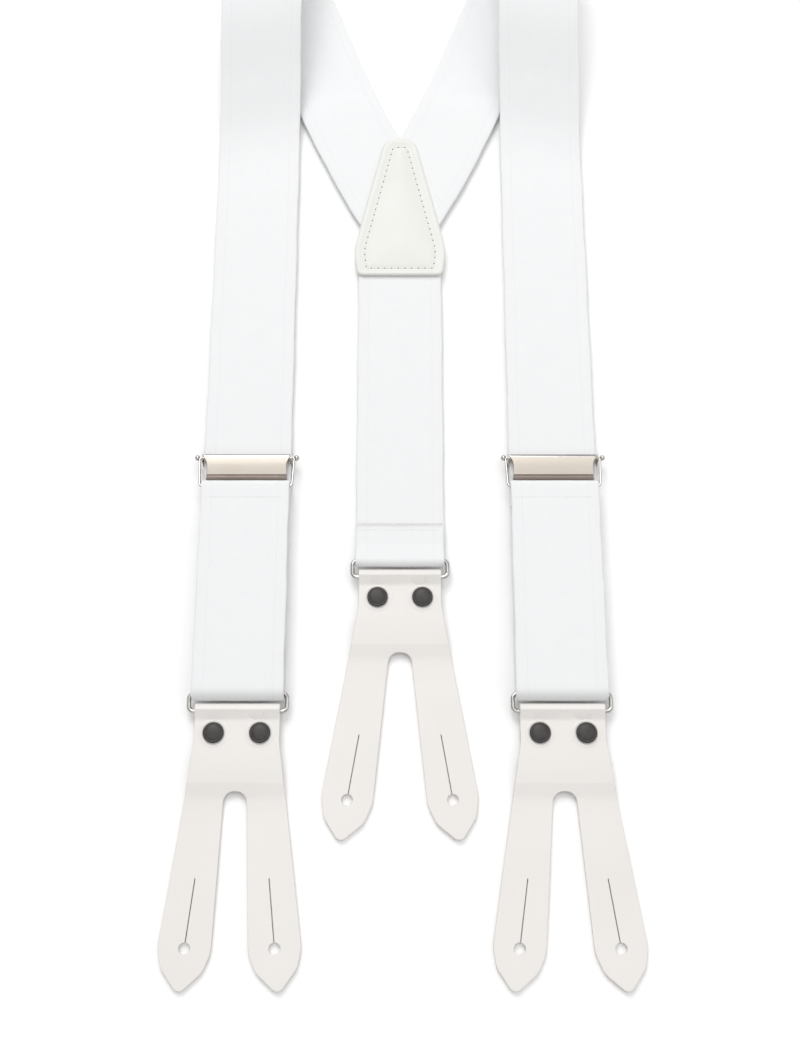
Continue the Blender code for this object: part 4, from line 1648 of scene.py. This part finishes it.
    def cover_profile(self) -> list[tuple[Vector, float, float]]:
        """The cover seen from the side: rolled, sloping down, creased, and turned down to its lip.

        Returns:
            Points (y, z) of its middle, and how deep the outer and the inner face are cut in there.
        """
        crease, end = -self.crease_at, -self.cover_length
        roll = [(p, 0.0, 0.0) for p in arc((0, 0), self.roll, -110, 95, 26)]
        slope = [
            (-2.2 * MM, 1.06 * MM, 0.0, 0.0),
            (-3.5 * MM, 0.92 * MM, 0.0, 0.0),
            (-5.2 * MM, 0.66 * MM, 0.0, 0.0),
            (crease + 0.5 * MM, 0.3 * MM, 0.0, 0.0),
            (crease + 0.12 * MM, 0.22 * MM, 0.0, 0.0),
            (crease, 0.18 * MM, 0.42 * MM, 0.0),
            (crease - 0.22 * MM, 0.08 * MM, 0.42 * MM, 0.0),
            (crease - 0.4 * MM, 0.0, 0.16 * MM, 0.0),
            (crease - 1.1 * MM, -0.42 * MM, 0.1 * MM, 0.05 * MM),
            (end + 0.45 * MM, -0.75 * MM, 0.16 * MM, 0.12 * MM),
            (end, -1.0 * MM, 0.26 * MM, 0.24 * MM),
        ]
        return roll + [(Vector((y, z)), cut_out, cut_in) for y, z, cut_out, cut_in in slope]

    def half_at(self, y: float) -> float:
        """Half the cover's width: full at the roll, hollowed below it, and flared at the lip.

        Args:
            y: A place along the cover, negative away from the roll.

        Returns:
            Half the width there.
        """
        reach = max(0.0, min(1.0, (-y - 0.2 * MM) / (3.2 * MM)))
        flare = max(0.0, min(1.0, (-y - self.crease_at + 0.6 * MM) / (2.4 * MM)))
        hollow = (self.cover_half - self.waist_half) * math.sin(reach * math.pi / 2)
        return self.cover_half - hollow + self.lip_flare * flare

    def cover(self, label: str) -> Piece:
        """The cover: rolled round the pin, brushed, creased, and toothed along its lip.

        Args:
            label: The side's word.

        Returns:
            The cover.
        """
        line = self.cover_profile()
        count = len(line)
        outer, inner = [], []
        for i, (point, cut_out, cut_in) in enumerate(line):
            before, after = line[max(i - 1, 0)][0], line[min(i + 1, count - 1)][0]
            run = (after - before).normalized()
            up = Vector((-run.y, run.x))
            outer.append(point - up * (self.sheet / 2 - cut_out))
            inner.append(point + up * (self.sheet / 2 - cut_in))
        section = outer + list(reversed(inner))
        lip = {count - 1, count}
        verts, faces = [], []
        size = len(section)
        for j in range(self.columns + 1):
            share = 2 * j / self.columns - 1
            for k, point in enumerate(section):
                y, z = point
                if k in lip and j % 4 in (1, 2):
                    y, z = y - self.tooth[0], z - self.tooth[1]
                verts.append((share * self.half_at(y), y, z))
        for j in range(self.columns):
            for k in range(size):
                a, b = j * size + k, j * size + (k + 1) % size
                faces.append((a, b, b + size, a + size))
        for j in (0, self.columns):
            for k in range(count - 1):
                a, b = j * size + k, j * size + size - 1 - k
                faces.append((a, a + 1, b - 1, b))
        finishes = (self.wardrobe.brushed, self.wardrobe.polished, self.wardrobe.shaded)
        made = mesh_piece(f"clamp_cover_{label}", verts, faces, *finishes)
        mend(made)
        # the roll gets polished nickel, and the lip past the crease gets the darker nickel, painted shade on
        # the lip
        for polygon in made.data.polygons:
            if polygon.center.y > -1.0 * MM:
                polygon.material_index = 1
            elif polygon.center.y < -self.crease_at + 0.13 * MM:
                polygon.material_index = 2
        soften(made, 0.1 * MM, 2, 50.0)
        smooth(made, 40.0)
        return made


# ---------------------------------------------------------------- leather


@dataclass
class Rivet:
    """A two-piece rivet: a rimmed black cap, the post through the leather, and a flat base."""

    wardrobe: Wardrobe
    post: float = 1.4 * MM
    cap_low: float = 5.15 * MM
    base_high: float = 0.65 * MM

    def model(self) -> Piece:
        """Turns one rivet on the Z axis, standing on z = 0.

        Returns:
            The rivet.
        """
        cap = [
            (0.0, 1.50), (0.8, 1.485), (1.6, 1.43), (2.3, 1.33), (2.8, 1.2), (3.05, 1.08), (3.15, 0.98),
            (3.25, 0.96), (3.38, 1.02), (3.55, 1.03), (3.75, 0.93), (3.9, 0.75), (3.99, 0.5), (4.0, 0.3),
            (3.93, 0.12), (3.8, 0.0),
        ]
        low = [(3.7, 0.0), (3.9, 0.06), (4.0, 0.2), (4.0, 0.42), (3.9, 0.58), (3.7, 0.65)]
        profile = [(radius * MM, self.cap_low + rise * MM) for radius, rise in cap]
        profile += [(self.post, self.cap_low), (self.post, self.base_high)]
        profile += [(radius * MM, rise * MM) for radius, rise in reversed(low)]
        profile += [(1.2 * MM, 0.0), (0.9 * MM, 0.16 * MM), (0.0, 0.2 * MM)]
        made = turned("rivet", profile, self.wardrobe.enamel, 40)
        smooth(made, 50.0)
        return made


@dataclass
class Tab:
    """A forked leather tab with two keyhole buttonholes, folded round a ring and riveted."""

    which: str
    tip_spacing: float
    wardrobe: Wardrobe
    length: float = 105.5 * MM
    width: float = 32.2 * MM
    flap: float = 17.0 * MM
    crotch: float = 33.0 * MM
    crotch_radius: float = 4.2 * MM
    leg_root_x: float = 10.2 * MM
    leg_half: float = 9.7 * MM
    point_length: float = 8.5 * MM
    point_share: float = 0.78
    hole_depth: float = 89.5 * MM
    hole: float = 2.1 * MM
    slit_length: float = 25.0 * MM
    slit_half: float = 0.14 * MM
    rivet_depth: float = 11.5 * MM
    rivet_spacing: float = 17.5 * MM
    rivet_hole: float = 1.7 * MM
    edge: float = 0.32 * MM
    lift: float = 0.16 * MM
    cell: float = 4.0 * MM

    @property
    def bar_y(self) -> float:
        """The ring's bar that the leather goes round."""
        return (PLAN.back_ring_y if self.which == "back" else PLAN.front_ring_y) - PLAN.ring_bars

    @property
    def bend(self) -> float:
        """The radius of the leather's middle round the wire."""
        return PLAN.ring_wire + PLAN.touch + PLAN.leather / 2

    @property
    def roll(self) -> float:
        """From the bar's middle to the outside of the leather round it."""
        return self.bend + PLAN.leather / 2

    def side_line(self) -> Path:
        """The leather seen from the side: the end of its flap, round the bar, and down to its tips.

        Returns:
            The line of its middle, as points (y, z).
        """
        flap_z = PLAN.ring_z - self.bend
        over = flap_z + PLAN.leather + PLAN.touch
        flap_end = self.bar_y - self.flap
        points = [(flap_end, flap_z)]
        points += arc((self.bar_y, PLAN.ring_z), self.bend, -90, 90, 18)
        table = PLAN.leather / 2
        points += [
            (self.bar_y - 2.4 * MM, over + 0.22 * MM),
            (self.bar_y - 4.3 * MM, over),
            (flap_end - 0.5 * MM, over),
            (flap_end - 5.0 * MM, over - 0.32 * MM),
            (flap_end - 10.0 * MM, over - 0.95 * MM),
            (flap_end - 15.5 * MM, table + 0.5 * MM),
            (flap_end - 20.0 * MM, table + 0.14 * MM),
            (flap_end - 25.0 * MM, table),
            (self.bar_y + self.roll - self.length, table),
        ]
        return Path(points)

    def leg(self) -> tuple[Vector, Vector, Vector, Vector]:
        """One leg of the flat leather, measured as (x, depth under the rolled top).

        Returns:
            Its root, tip, direction and outward side.
        """
        root = Vector((self.leg_root_x, self.crotch + 1 * MM))
        tip = Vector((self.tip_spacing / 2, self.length))
        run = (tip - root).normalized()
        return root, tip, run, Vector((run.y, -run.x))

    def outline(self) -> list[Vector]:
        """The tab's outline.

        Returns:
            Its points, as (x, depth under the rolled top).
        """
        root, tip, run, out = self.leg()
        wide = root + run * (self.hole_depth - self.crotch)
        narrow = tip - run * self.point_length
        right = [(self.width / 2, 0.0, 0.0), (self.width / 2, self.crotch * 0.45, 20 * MM)]
        for point, radius in (
            (wide + out * self.leg_half, 14 * MM),
            (narrow + out * self.leg_half * self.point_share, 8 * MM),
            (tip, 2.5 * MM),
            (narrow - out * self.leg_half * self.point_share, 8 * MM),
            (wide - out * self.leg_half, 14 * MM),
        ):
            right.append((point.x, point.y, radius))
        right.append((self.crotch_radius, self.crotch, self.crotch_radius * 0.96))
        left = [(-x, depth, radius) for x, depth, radius in reversed(right)]
        return rounded_outline(right + left, 12)

    def keyhole(self, way: int) -> list[Vector]:
        """A buttonhole: a round hole with a slit running up from it.

        Args:
            way: -1 for the left leg and 1 for the right.

        Returns:
            Its outline, as (x, depth).
        """
        root, _, run, out = self.leg()
        middle = root + run * ((self.hole_depth - root.y) / run.y)
        opening = math.degrees(math.asin(self.slit_half / self.hole))
        outline = arc((0, 0), self.hole, -90 + opening, 270 - opening, 26)
        end = self.slit_length
        outline += [Vector(p) for p in ((-self.slit_half, -end + 0.3 * MM), (-0.4 * self.slit_half, -end))]
        outline += [Vector(p) for p in ((0.4 * self.slit_half, -end), (self.slit_half, -end + 0.3 * MM))]
        placed = [middle + out * p.x + run * p.y for p in outline]
        return [Vector((way * p.x, p.y)) for p in placed]

    def build(self) -> list[Piece]:
        """Cuts the leather flat, folds it round the ring, and sets its rivets.

        Returns:
            The tab, its rivets and the pressed rings round them.
        """
        line = self.side_line()
        fold = self.flap + math.pi * self.bend
        shoulder = next(i for i, s in enumerate(line.at) if s > fold - 0.01 * MM)

        def along(depth: float) -> float:
            """Where a depth below the rolled top lies along the flat leather.

            Args:
                depth: The depth, or 0 for the flap's end.

            Returns:
                The distance from the flap's end.
            """
            if depth <= 0:
                return 0.0
            y = self.bar_y + self.roll - depth
            for i in range(shoulder, len(line.points) - 1):
                a, b = line.points[i], line.points[i + 1]
                if b.x <= y <= a.x:
                    share = (a.x - y) / (a.x - b.x)
                    return line.at[i] + share * (line.at[i + 1] - line.at[i])
            return line.length

        def flat(points: list[Vector]) -> list[Vector]:
            """Points of a depth and side, laid out on the flat leather."""
            return [Vector((p.x, along(p.y))) for p in points]

        holes = [flat(self.keyhole(way)) for way in (-1, 1)]
        for way in (-1, 1):
            x = way * self.rivet_spacing / 2
            for s in (along(self.rivet_depth), self.flap - (self.rivet_depth - self.roll)):
                holes.append(arc((x, s), self.rivet_hole, 0, 345, 23))
        name = f"leather_tab_{self.which}"
        tab = cut_plate(name, [flat(self.outline())] + holes, PLAN.leather, self.edge, self.wardrobe.tab)
        tab.data.materials.append(self.wardrobe.tab_edge)
        for polygon in tab.data.polygons:
            polygon.material_index = int(abs(polygon.normal.z) < 0.3)
        self.score(tab, line)
        self.fold_leather(tab, line)
        even_normals(tab, 50.0)
        middle = PLAN.middle(self.which)
        tab.data.transform(Matrix.Translation((middle, 0, 0)))
        hang(tab, f"tab_{self.which}", "tab_leather", f"tab_{self.which}")
        return [tab] + self.rivets(middle)

    def score(self, tab: Piece, line: Path) -> None:
        """Cuts the flat leather's faces across where it bends and in a grid, so that it can be shaped.

        Args:
            tab: The flat leather.
            line: Its side line.
        """
        crosswise = list(line.at[1:-1])
        s = self.flap + 30 * MM
        while s < line.length:
            crosswise.append(s)
            s += self.cell
        cuts = [((0, s, 0), (0, 1, 0)) for s in crosswise]
        cuts += [(((i + 0.5) * self.cell, 0, 0), (1, 0, 0)) for i in range(-7, 8)]
        take(tab)
        bpy.ops.object.mode_set(mode="EDIT")
        for place, normal in cuts:
            bpy.ops.mesh.select_all(action="SELECT")
            bpy.ops.mesh.bisect(plane_co=place, plane_no=normal, threshold=0.000001)
        bpy.ops.object.mode_set(mode="OBJECT")

    def fold_leather(self, tab: Piece, line: Path) -> None:
        """Bends the flat leather along its side line, and gives its legs a slow, slight lift.

        Args:
            tab: The flat leather.
            line: Its side line.
        """
        runs = [(b - a).normalized() for a, b in zip(line.points, line.points[1:])]
        ups = []
        for i in range(len(line.points)):
            before, after = runs[max(i - 1, 0)], runs[min(i, len(runs) - 1)]
            first, second = Vector((-before.y, before.x)), Vector((-after.y, after.x))
            mitre = (first + second).normalized()
            ups.append(mitre / max(mitre.dot(first), 0.5))
        for vertex in tab.data.vertices:
            x, s, rise = vertex.co
            i = max(k for k in range(len(line.at) - 1) if line.at[k] <= max(s, 0.0) + 1e-9)
            share = (s - line.at[i]) / (line.at[i + 1] - line.at[i])
            place = line.points[i].lerp(line.points[i + 1], share)
            place = place + ups[i].lerp(ups[i + 1], max(0.0, min(1.0, share))) * rise
            free = max(0.0, min(1.0, (s - self.flap - 40 * MM) / (30 * MM)))
            slow, fast = math.sin(s * 95 + x * 60), math.sin(x * 210 + s * 31)
            lift = self.lift * free * (1 + slow) * (0.6 + 0.4 * fast)
            vertex.co = (x, place.x, place.y + lift)

    def rivets(self, middle: float) -> list[Piece]:
        """Sets the two rivets, each with the leather pressed up in a soft ring round its cap.

        Args:
            middle: The X of the tab's middle.

        Returns:
            The rivets and the rings.
        """
        y = self.bar_y + self.roll - self.rivet_depth
        model = Rivet(self.wardrobe).model()
        top = PLAN.ring_z - self.bend + PLAN.leather * 1.5 + PLAN.touch
        swell = [
            (0.0, -0.3), (6.2, -0.25), (6.0, -0.04), (5.4, 0.06), (4.9, 0.14), (4.45, 0.13), (4.1, 0.02),
            (3.6, -0.25), (0.0, -0.25),
        ]
        profile = [(radius * MM, top + rise * MM) for radius, rise in swell]
        ring = turned("swell", profile, self.wardrobe.tab, 40)
        smooth(ring, 60.0)
        made = []
        for way, label in ((-1, "a"), (1, "b")):
            place = Matrix.Translation((middle + way * self.rivet_spacing / 2, y, 0))
            which = f"{self.which}_{label}"
            rivet = copy_piece(model, f"rivet_{which}", place)
            collar = copy_piece(ring, f"pressed_ring_{which}", place)
            body = f"tab_{self.which}"
            made.append(hang(rivet, body, "rivet_enamel", f"rivet_cap_{which}", f"rivet_base_{which}"))
            made.append(hang(collar, body, "tab_leather"))
        for old in (model, ring):
            bpy.data.objects.remove(old)
        return made


@dataclass
class Patch:
    """The leather patch: a padded outer leather, a flat inner one, and the stitches through both."""

    wardrobe: Wardrobe
    top_width: float = 12.8 * MM
    best_width: float = 39.3 * MM
    foot_width: float = 36.2 * MM
    widest_at: float = 12.0 * MM
    sew_sides: float = 4.3 * MM
    sew_foot: float = 3.2 * MM
    sew_top: float = 4.2 * MM
    outer_low: float = 3.4 * MM
    seam_rise: float = 1.12 * MM
    crown: float = 0.85 * MM
    inner_high: float = 1.3 * MM

    def corners(self) -> list[tuple[float, float, float]]:
        """The outline's corners, up the right side and down the left.

        Returns:
            Each corner as (x, y, radius).
        """
        y = PLAN.patch_y
        right = [
            (self.foot_width / 2, y, 3.0 * MM),
            (self.best_width / 2, y + self.widest_at, 24.0 * MM),
            (self.top_width / 2, y + PLAN.patch_length, 6.2 * MM),
        ]
        return right + [(-x, at, radius) for x, at, radius in reversed(right)]

    def outline(self, sides: float, foot: float, top: float, steps: int = 14) -> list[Vector]:
        """The outline moved inwards.

        Args:
            sides: How far the sides move in.
            foot: How far the bottom edge moves in.
            top: How far the top edge moves in.
            steps: The number of straight pieces in each corner.

        Returns:
            The closed line's points.
        """
        corners = self.corners()
        inset = [sides, sides, top, sides, sides, foot]
        moved = []
        for i, (x, y, radius) in enumerate(corners):
            here = Vector((x, y))
            before = (here - Vector(corners[i - 1][:2])).normalized()
            after = (Vector(corners[(i + 1) % 6][:2]) - here).normalized()
            inward_a, inward_b = Vector((-before.y, before.x)), Vector((-after.y, after.x))
            da, db = inset[i - 1], inset[i]
            cosine = inward_a.dot(inward_b)
            scale = 1 - cosine * cosine
            offset = inward_a * ((da - db * cosine) / scale) + inward_b * ((db - da * cosine) / scale)
            moved.append((here.x + offset.x, here.y + offset.y, max(radius - (da + db) / 2, 0.8 * MM)))
        return rounded_outline(moved, steps)

    def build(self) -> list[Piece]:
        """Makes the leathers and the stitching, and hangs them on the harness.

        Returns:
            The three pieces.
        """
        outer, inner = self.outer_leather(), self.inner_leather()
        seam = self.outline(self.sew_sides, self.sew_foot, self.sew_top, 24)
        over = self.outer_low + self.seam_rise
        sewn = Stitch(self.wardrobe).sew("patch_stitches", [Vector((p.x, p.y, over)) for p in seam], True)
        PLAN.seat(sewn)
        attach(sewn, "harness")
        hang(outer, "harness", "patch_leather", "patch_outer")
        hang(inner, "harness", "patch_leather", "patch_inner")
        return [outer, inner, sewn]

    def outer_leather(self) -> Piece:
        """The outer leather: a rounded bead round its edge, a sewn channel, and a soft crown.

        Returns:
            The leather.
        """
        low = self.outer_low
        bead = [
            (0.35, 0.0), (0.1, 0.12), (0.0, 0.35), (0.0, 0.8), (0.1, 1.12), (0.35, 1.33), (0.75, 1.46),
            (1.3, 1.5), (1.9, 1.46), (2.4, 1.36), (2.75, 1.24),
        ]
        channel = [(0.86, 1.14), (0.95, 1.07), (1.03, 1.06), (1.12, 1.13), (1.24, 1.3)]
        top_share = self.sew_top / self.sew_sides
        foot_share = self.sew_foot / self.sew_sides
        rings = []
        for inside, rise in bead:
            d = inside * MM
            at_foot = d * foot_share if d > 0.5 * MM else d
            rings.append((self.outline(d, at_foot, d), low + rise * MM))
        for share, rise in channel:
            d = self.sew_sides * share
            rings.append((self.outline(d, d * foot_share, d * top_share), low + rise * MM))
        last, edge_z = rings[-1]
        foot, head = PLAN.patch_y + 17 * MM, PLAN.patch_y + PLAN.patch_length - 9 * MM
        spine = [Vector((0, max(foot, min(head, p.y)))) for p in last]
        steps = 8
        for i in range(1, steps + 1):
            t = i / steps
            inner = [p.lerp(q, t) for p, q in zip(last, spine)]
            rings.append((inner, edge_z + self.crown * math.sin(t * math.pi / 2)))
        verts = [Vector((p.x, p.y, z)) for ring, z in rings for p in ring]
        size = len(rings[0][0])
        faces = []
        for k in range(len(rings) - 1):
            for i in range(size):
                a, b = k * size + i, k * size + (i + 1) % size
                faces.append((a, b, b + size, a + size))
        under = len(verts)
        verts += [Vector((q.x, q.y, low)) for q in spine]
        for i in range(size):
            faces.append((i, under + i, under + (i + 1) % size, (i + 1) % size))
        made = mesh_piece("patch_face", verts, faces, self.wardrobe.patch)
        mend(made)
        smooth(made, 70.0)
        return made

    def inner_leather(self) -> Piece:
        """The inner leather, which lies on the table.

        Returns:
            The leather.
        """
        outline = self.outline(0, 0, 0)
        made = cut_plate("patch_lining", [outline], self.inner_high, 0.3 * MM, self.wardrobe.patch)
        made.data.transform(Matrix.Translation((0, 0, self.inner_high / 2)))
        even_normals(made, 60.0)
        return made


# ---------------------------------------------------------------- studio


@dataclass(frozen=True)
class FloorFinish(Finish):
    """A pale painted table."""

    shade: tuple[float, float, float] = (0.86, 0.86, 0.86)

    def material(self) -> Material:
        """Makes the floor's material.

        Returns:
            The material.
        """
        made, board, shader = self.start()
        where = board.add("ShaderNodeTexCoord")
        cloud = board.math("MULTIPLY", board.noise(where.outputs["Object"], 3.0, 2.0), 0.15)
        board.wire(board.mix(cloud, self.colour, self.shade), shader.inputs["Base Color"])
        return made


@dataclass
class Studio:
    """A pale floor, soft lights, and the camera that looks down at 70 degrees."""

    aim: tuple[float, float, float] = (-0.001, -0.0512, 0.0)
    distance: float = 0.581
    lean: float = math.radians(20.0)
    lens: float = 50.0
    daylight: float = 0.46

    def build(self) -> None:
        """Sets up the floor, the light and the camera."""
        self.floor()
        self.light("key", (-0.3, 1.1, 1.35), 1.0, 15.2)
        self.light("top", (0.0, 0.1, 1.7), 2.0, 10.5)
        self.light("fill_right", (0.95, -0.1, 0.9), 0.9, 2.1)
        self.light("fill_front", (-0.2, -1.0, 0.9), 0.9, 1.5)
        world = bpy.data.worlds.new("studio")
        world.use_nodes = True
        sky = world.node_tree.nodes["Background"]
        sky.inputs["Color"].default_value = (1.0, 1.0, 1.0, 1.0)
        sky.inputs["Strength"].default_value = self.daylight
        scene = bpy.context.scene
        scene.world = world
        scene.view_settings.view_transform = "Standard"
        self.camera()

    def floor(self) -> None:
        """The floor, just under the lowest point of the object."""
        bpy.ops.mesh.primitive_plane_add(size=6.0, location=(0, 0, 0))
        made = bpy.context.active_object
        made.name = "floor"
        made.data.materials.append(FloorFinish("pale_floor", (0.93, 0.93, 0.93), 0.8).material())
        made.data.transform(Matrix.Translation((0, 0, -0.0001)))

    def light(self, name: str, place: tuple[float, float, float], size: float, power: float) -> None:
        """Adds a large soft light that faces the object.

        Args:
            name: The light's name.
            place: Where it hangs.
            size: The length of its square side.
            power: Its power in watts.
        """
        lamp = bpy.data.lights.new(name, "AREA")
        lamp.shape = "SQUARE"
        lamp.size = size
        lamp.energy = power
        holder = bpy.data.objects.new(name, lamp)
        holder.location = place
        holder.rotation_euler = (Vector(self.aim) - Vector(place)).to_track_quat("-Z", "Y").to_euler()
        bpy.context.scene.collection.objects.link(holder)

    def camera(self) -> None:
        """The camera."""
        data = bpy.data.cameras.new("camera")
        data.lens = self.lens
        data.dof.use_dof = False
        data.clip_start = 0.01
        holder = bpy.data.objects.new("camera", data)
        away = Vector((0, -math.sin(self.lean), math.cos(self.lean)))
        holder.location = Vector(self.aim) + away * self.distance
        holder.rotation_euler = (self.lean, 0, 0)
        bpy.context.scene.collection.objects.link(holder)
        bpy.context.scene.camera = holder


# ---------------------------------------------------------------- everything


def report(made: list[Piece]) -> None:
    """Logs each piece's name and size."""
    for piece in made:
        log.info("%s: %d faces", piece.name, len(piece.data.polygons))


def main() -> None:
    """Builds every sub-assembly in order."""
    logging.basicConfig(level=logging.INFO, format="%(name)s %(message)s")
    Studio().build()
    wardrobe = Wardrobe()
    tips = {"left": 36.0 * MM, "right": 41.3 * MM, "back": 45.0 * MM}
    for side in Side:
        report([ShoulderStrap(side, wardrobe).build()])
        report(AdjustableLoop(side, wardrobe).build())
        report(Adjuster(side, wardrobe).build())
    report(BackStrap(wardrobe).build())
    report(Patch(wardrobe).build())
    for which, spacing in tips.items():
        report([Ring(which, wardrobe).build()])
        report(Tab(which, spacing, wardrobe).build())


if __name__ == "__main__":
    main()
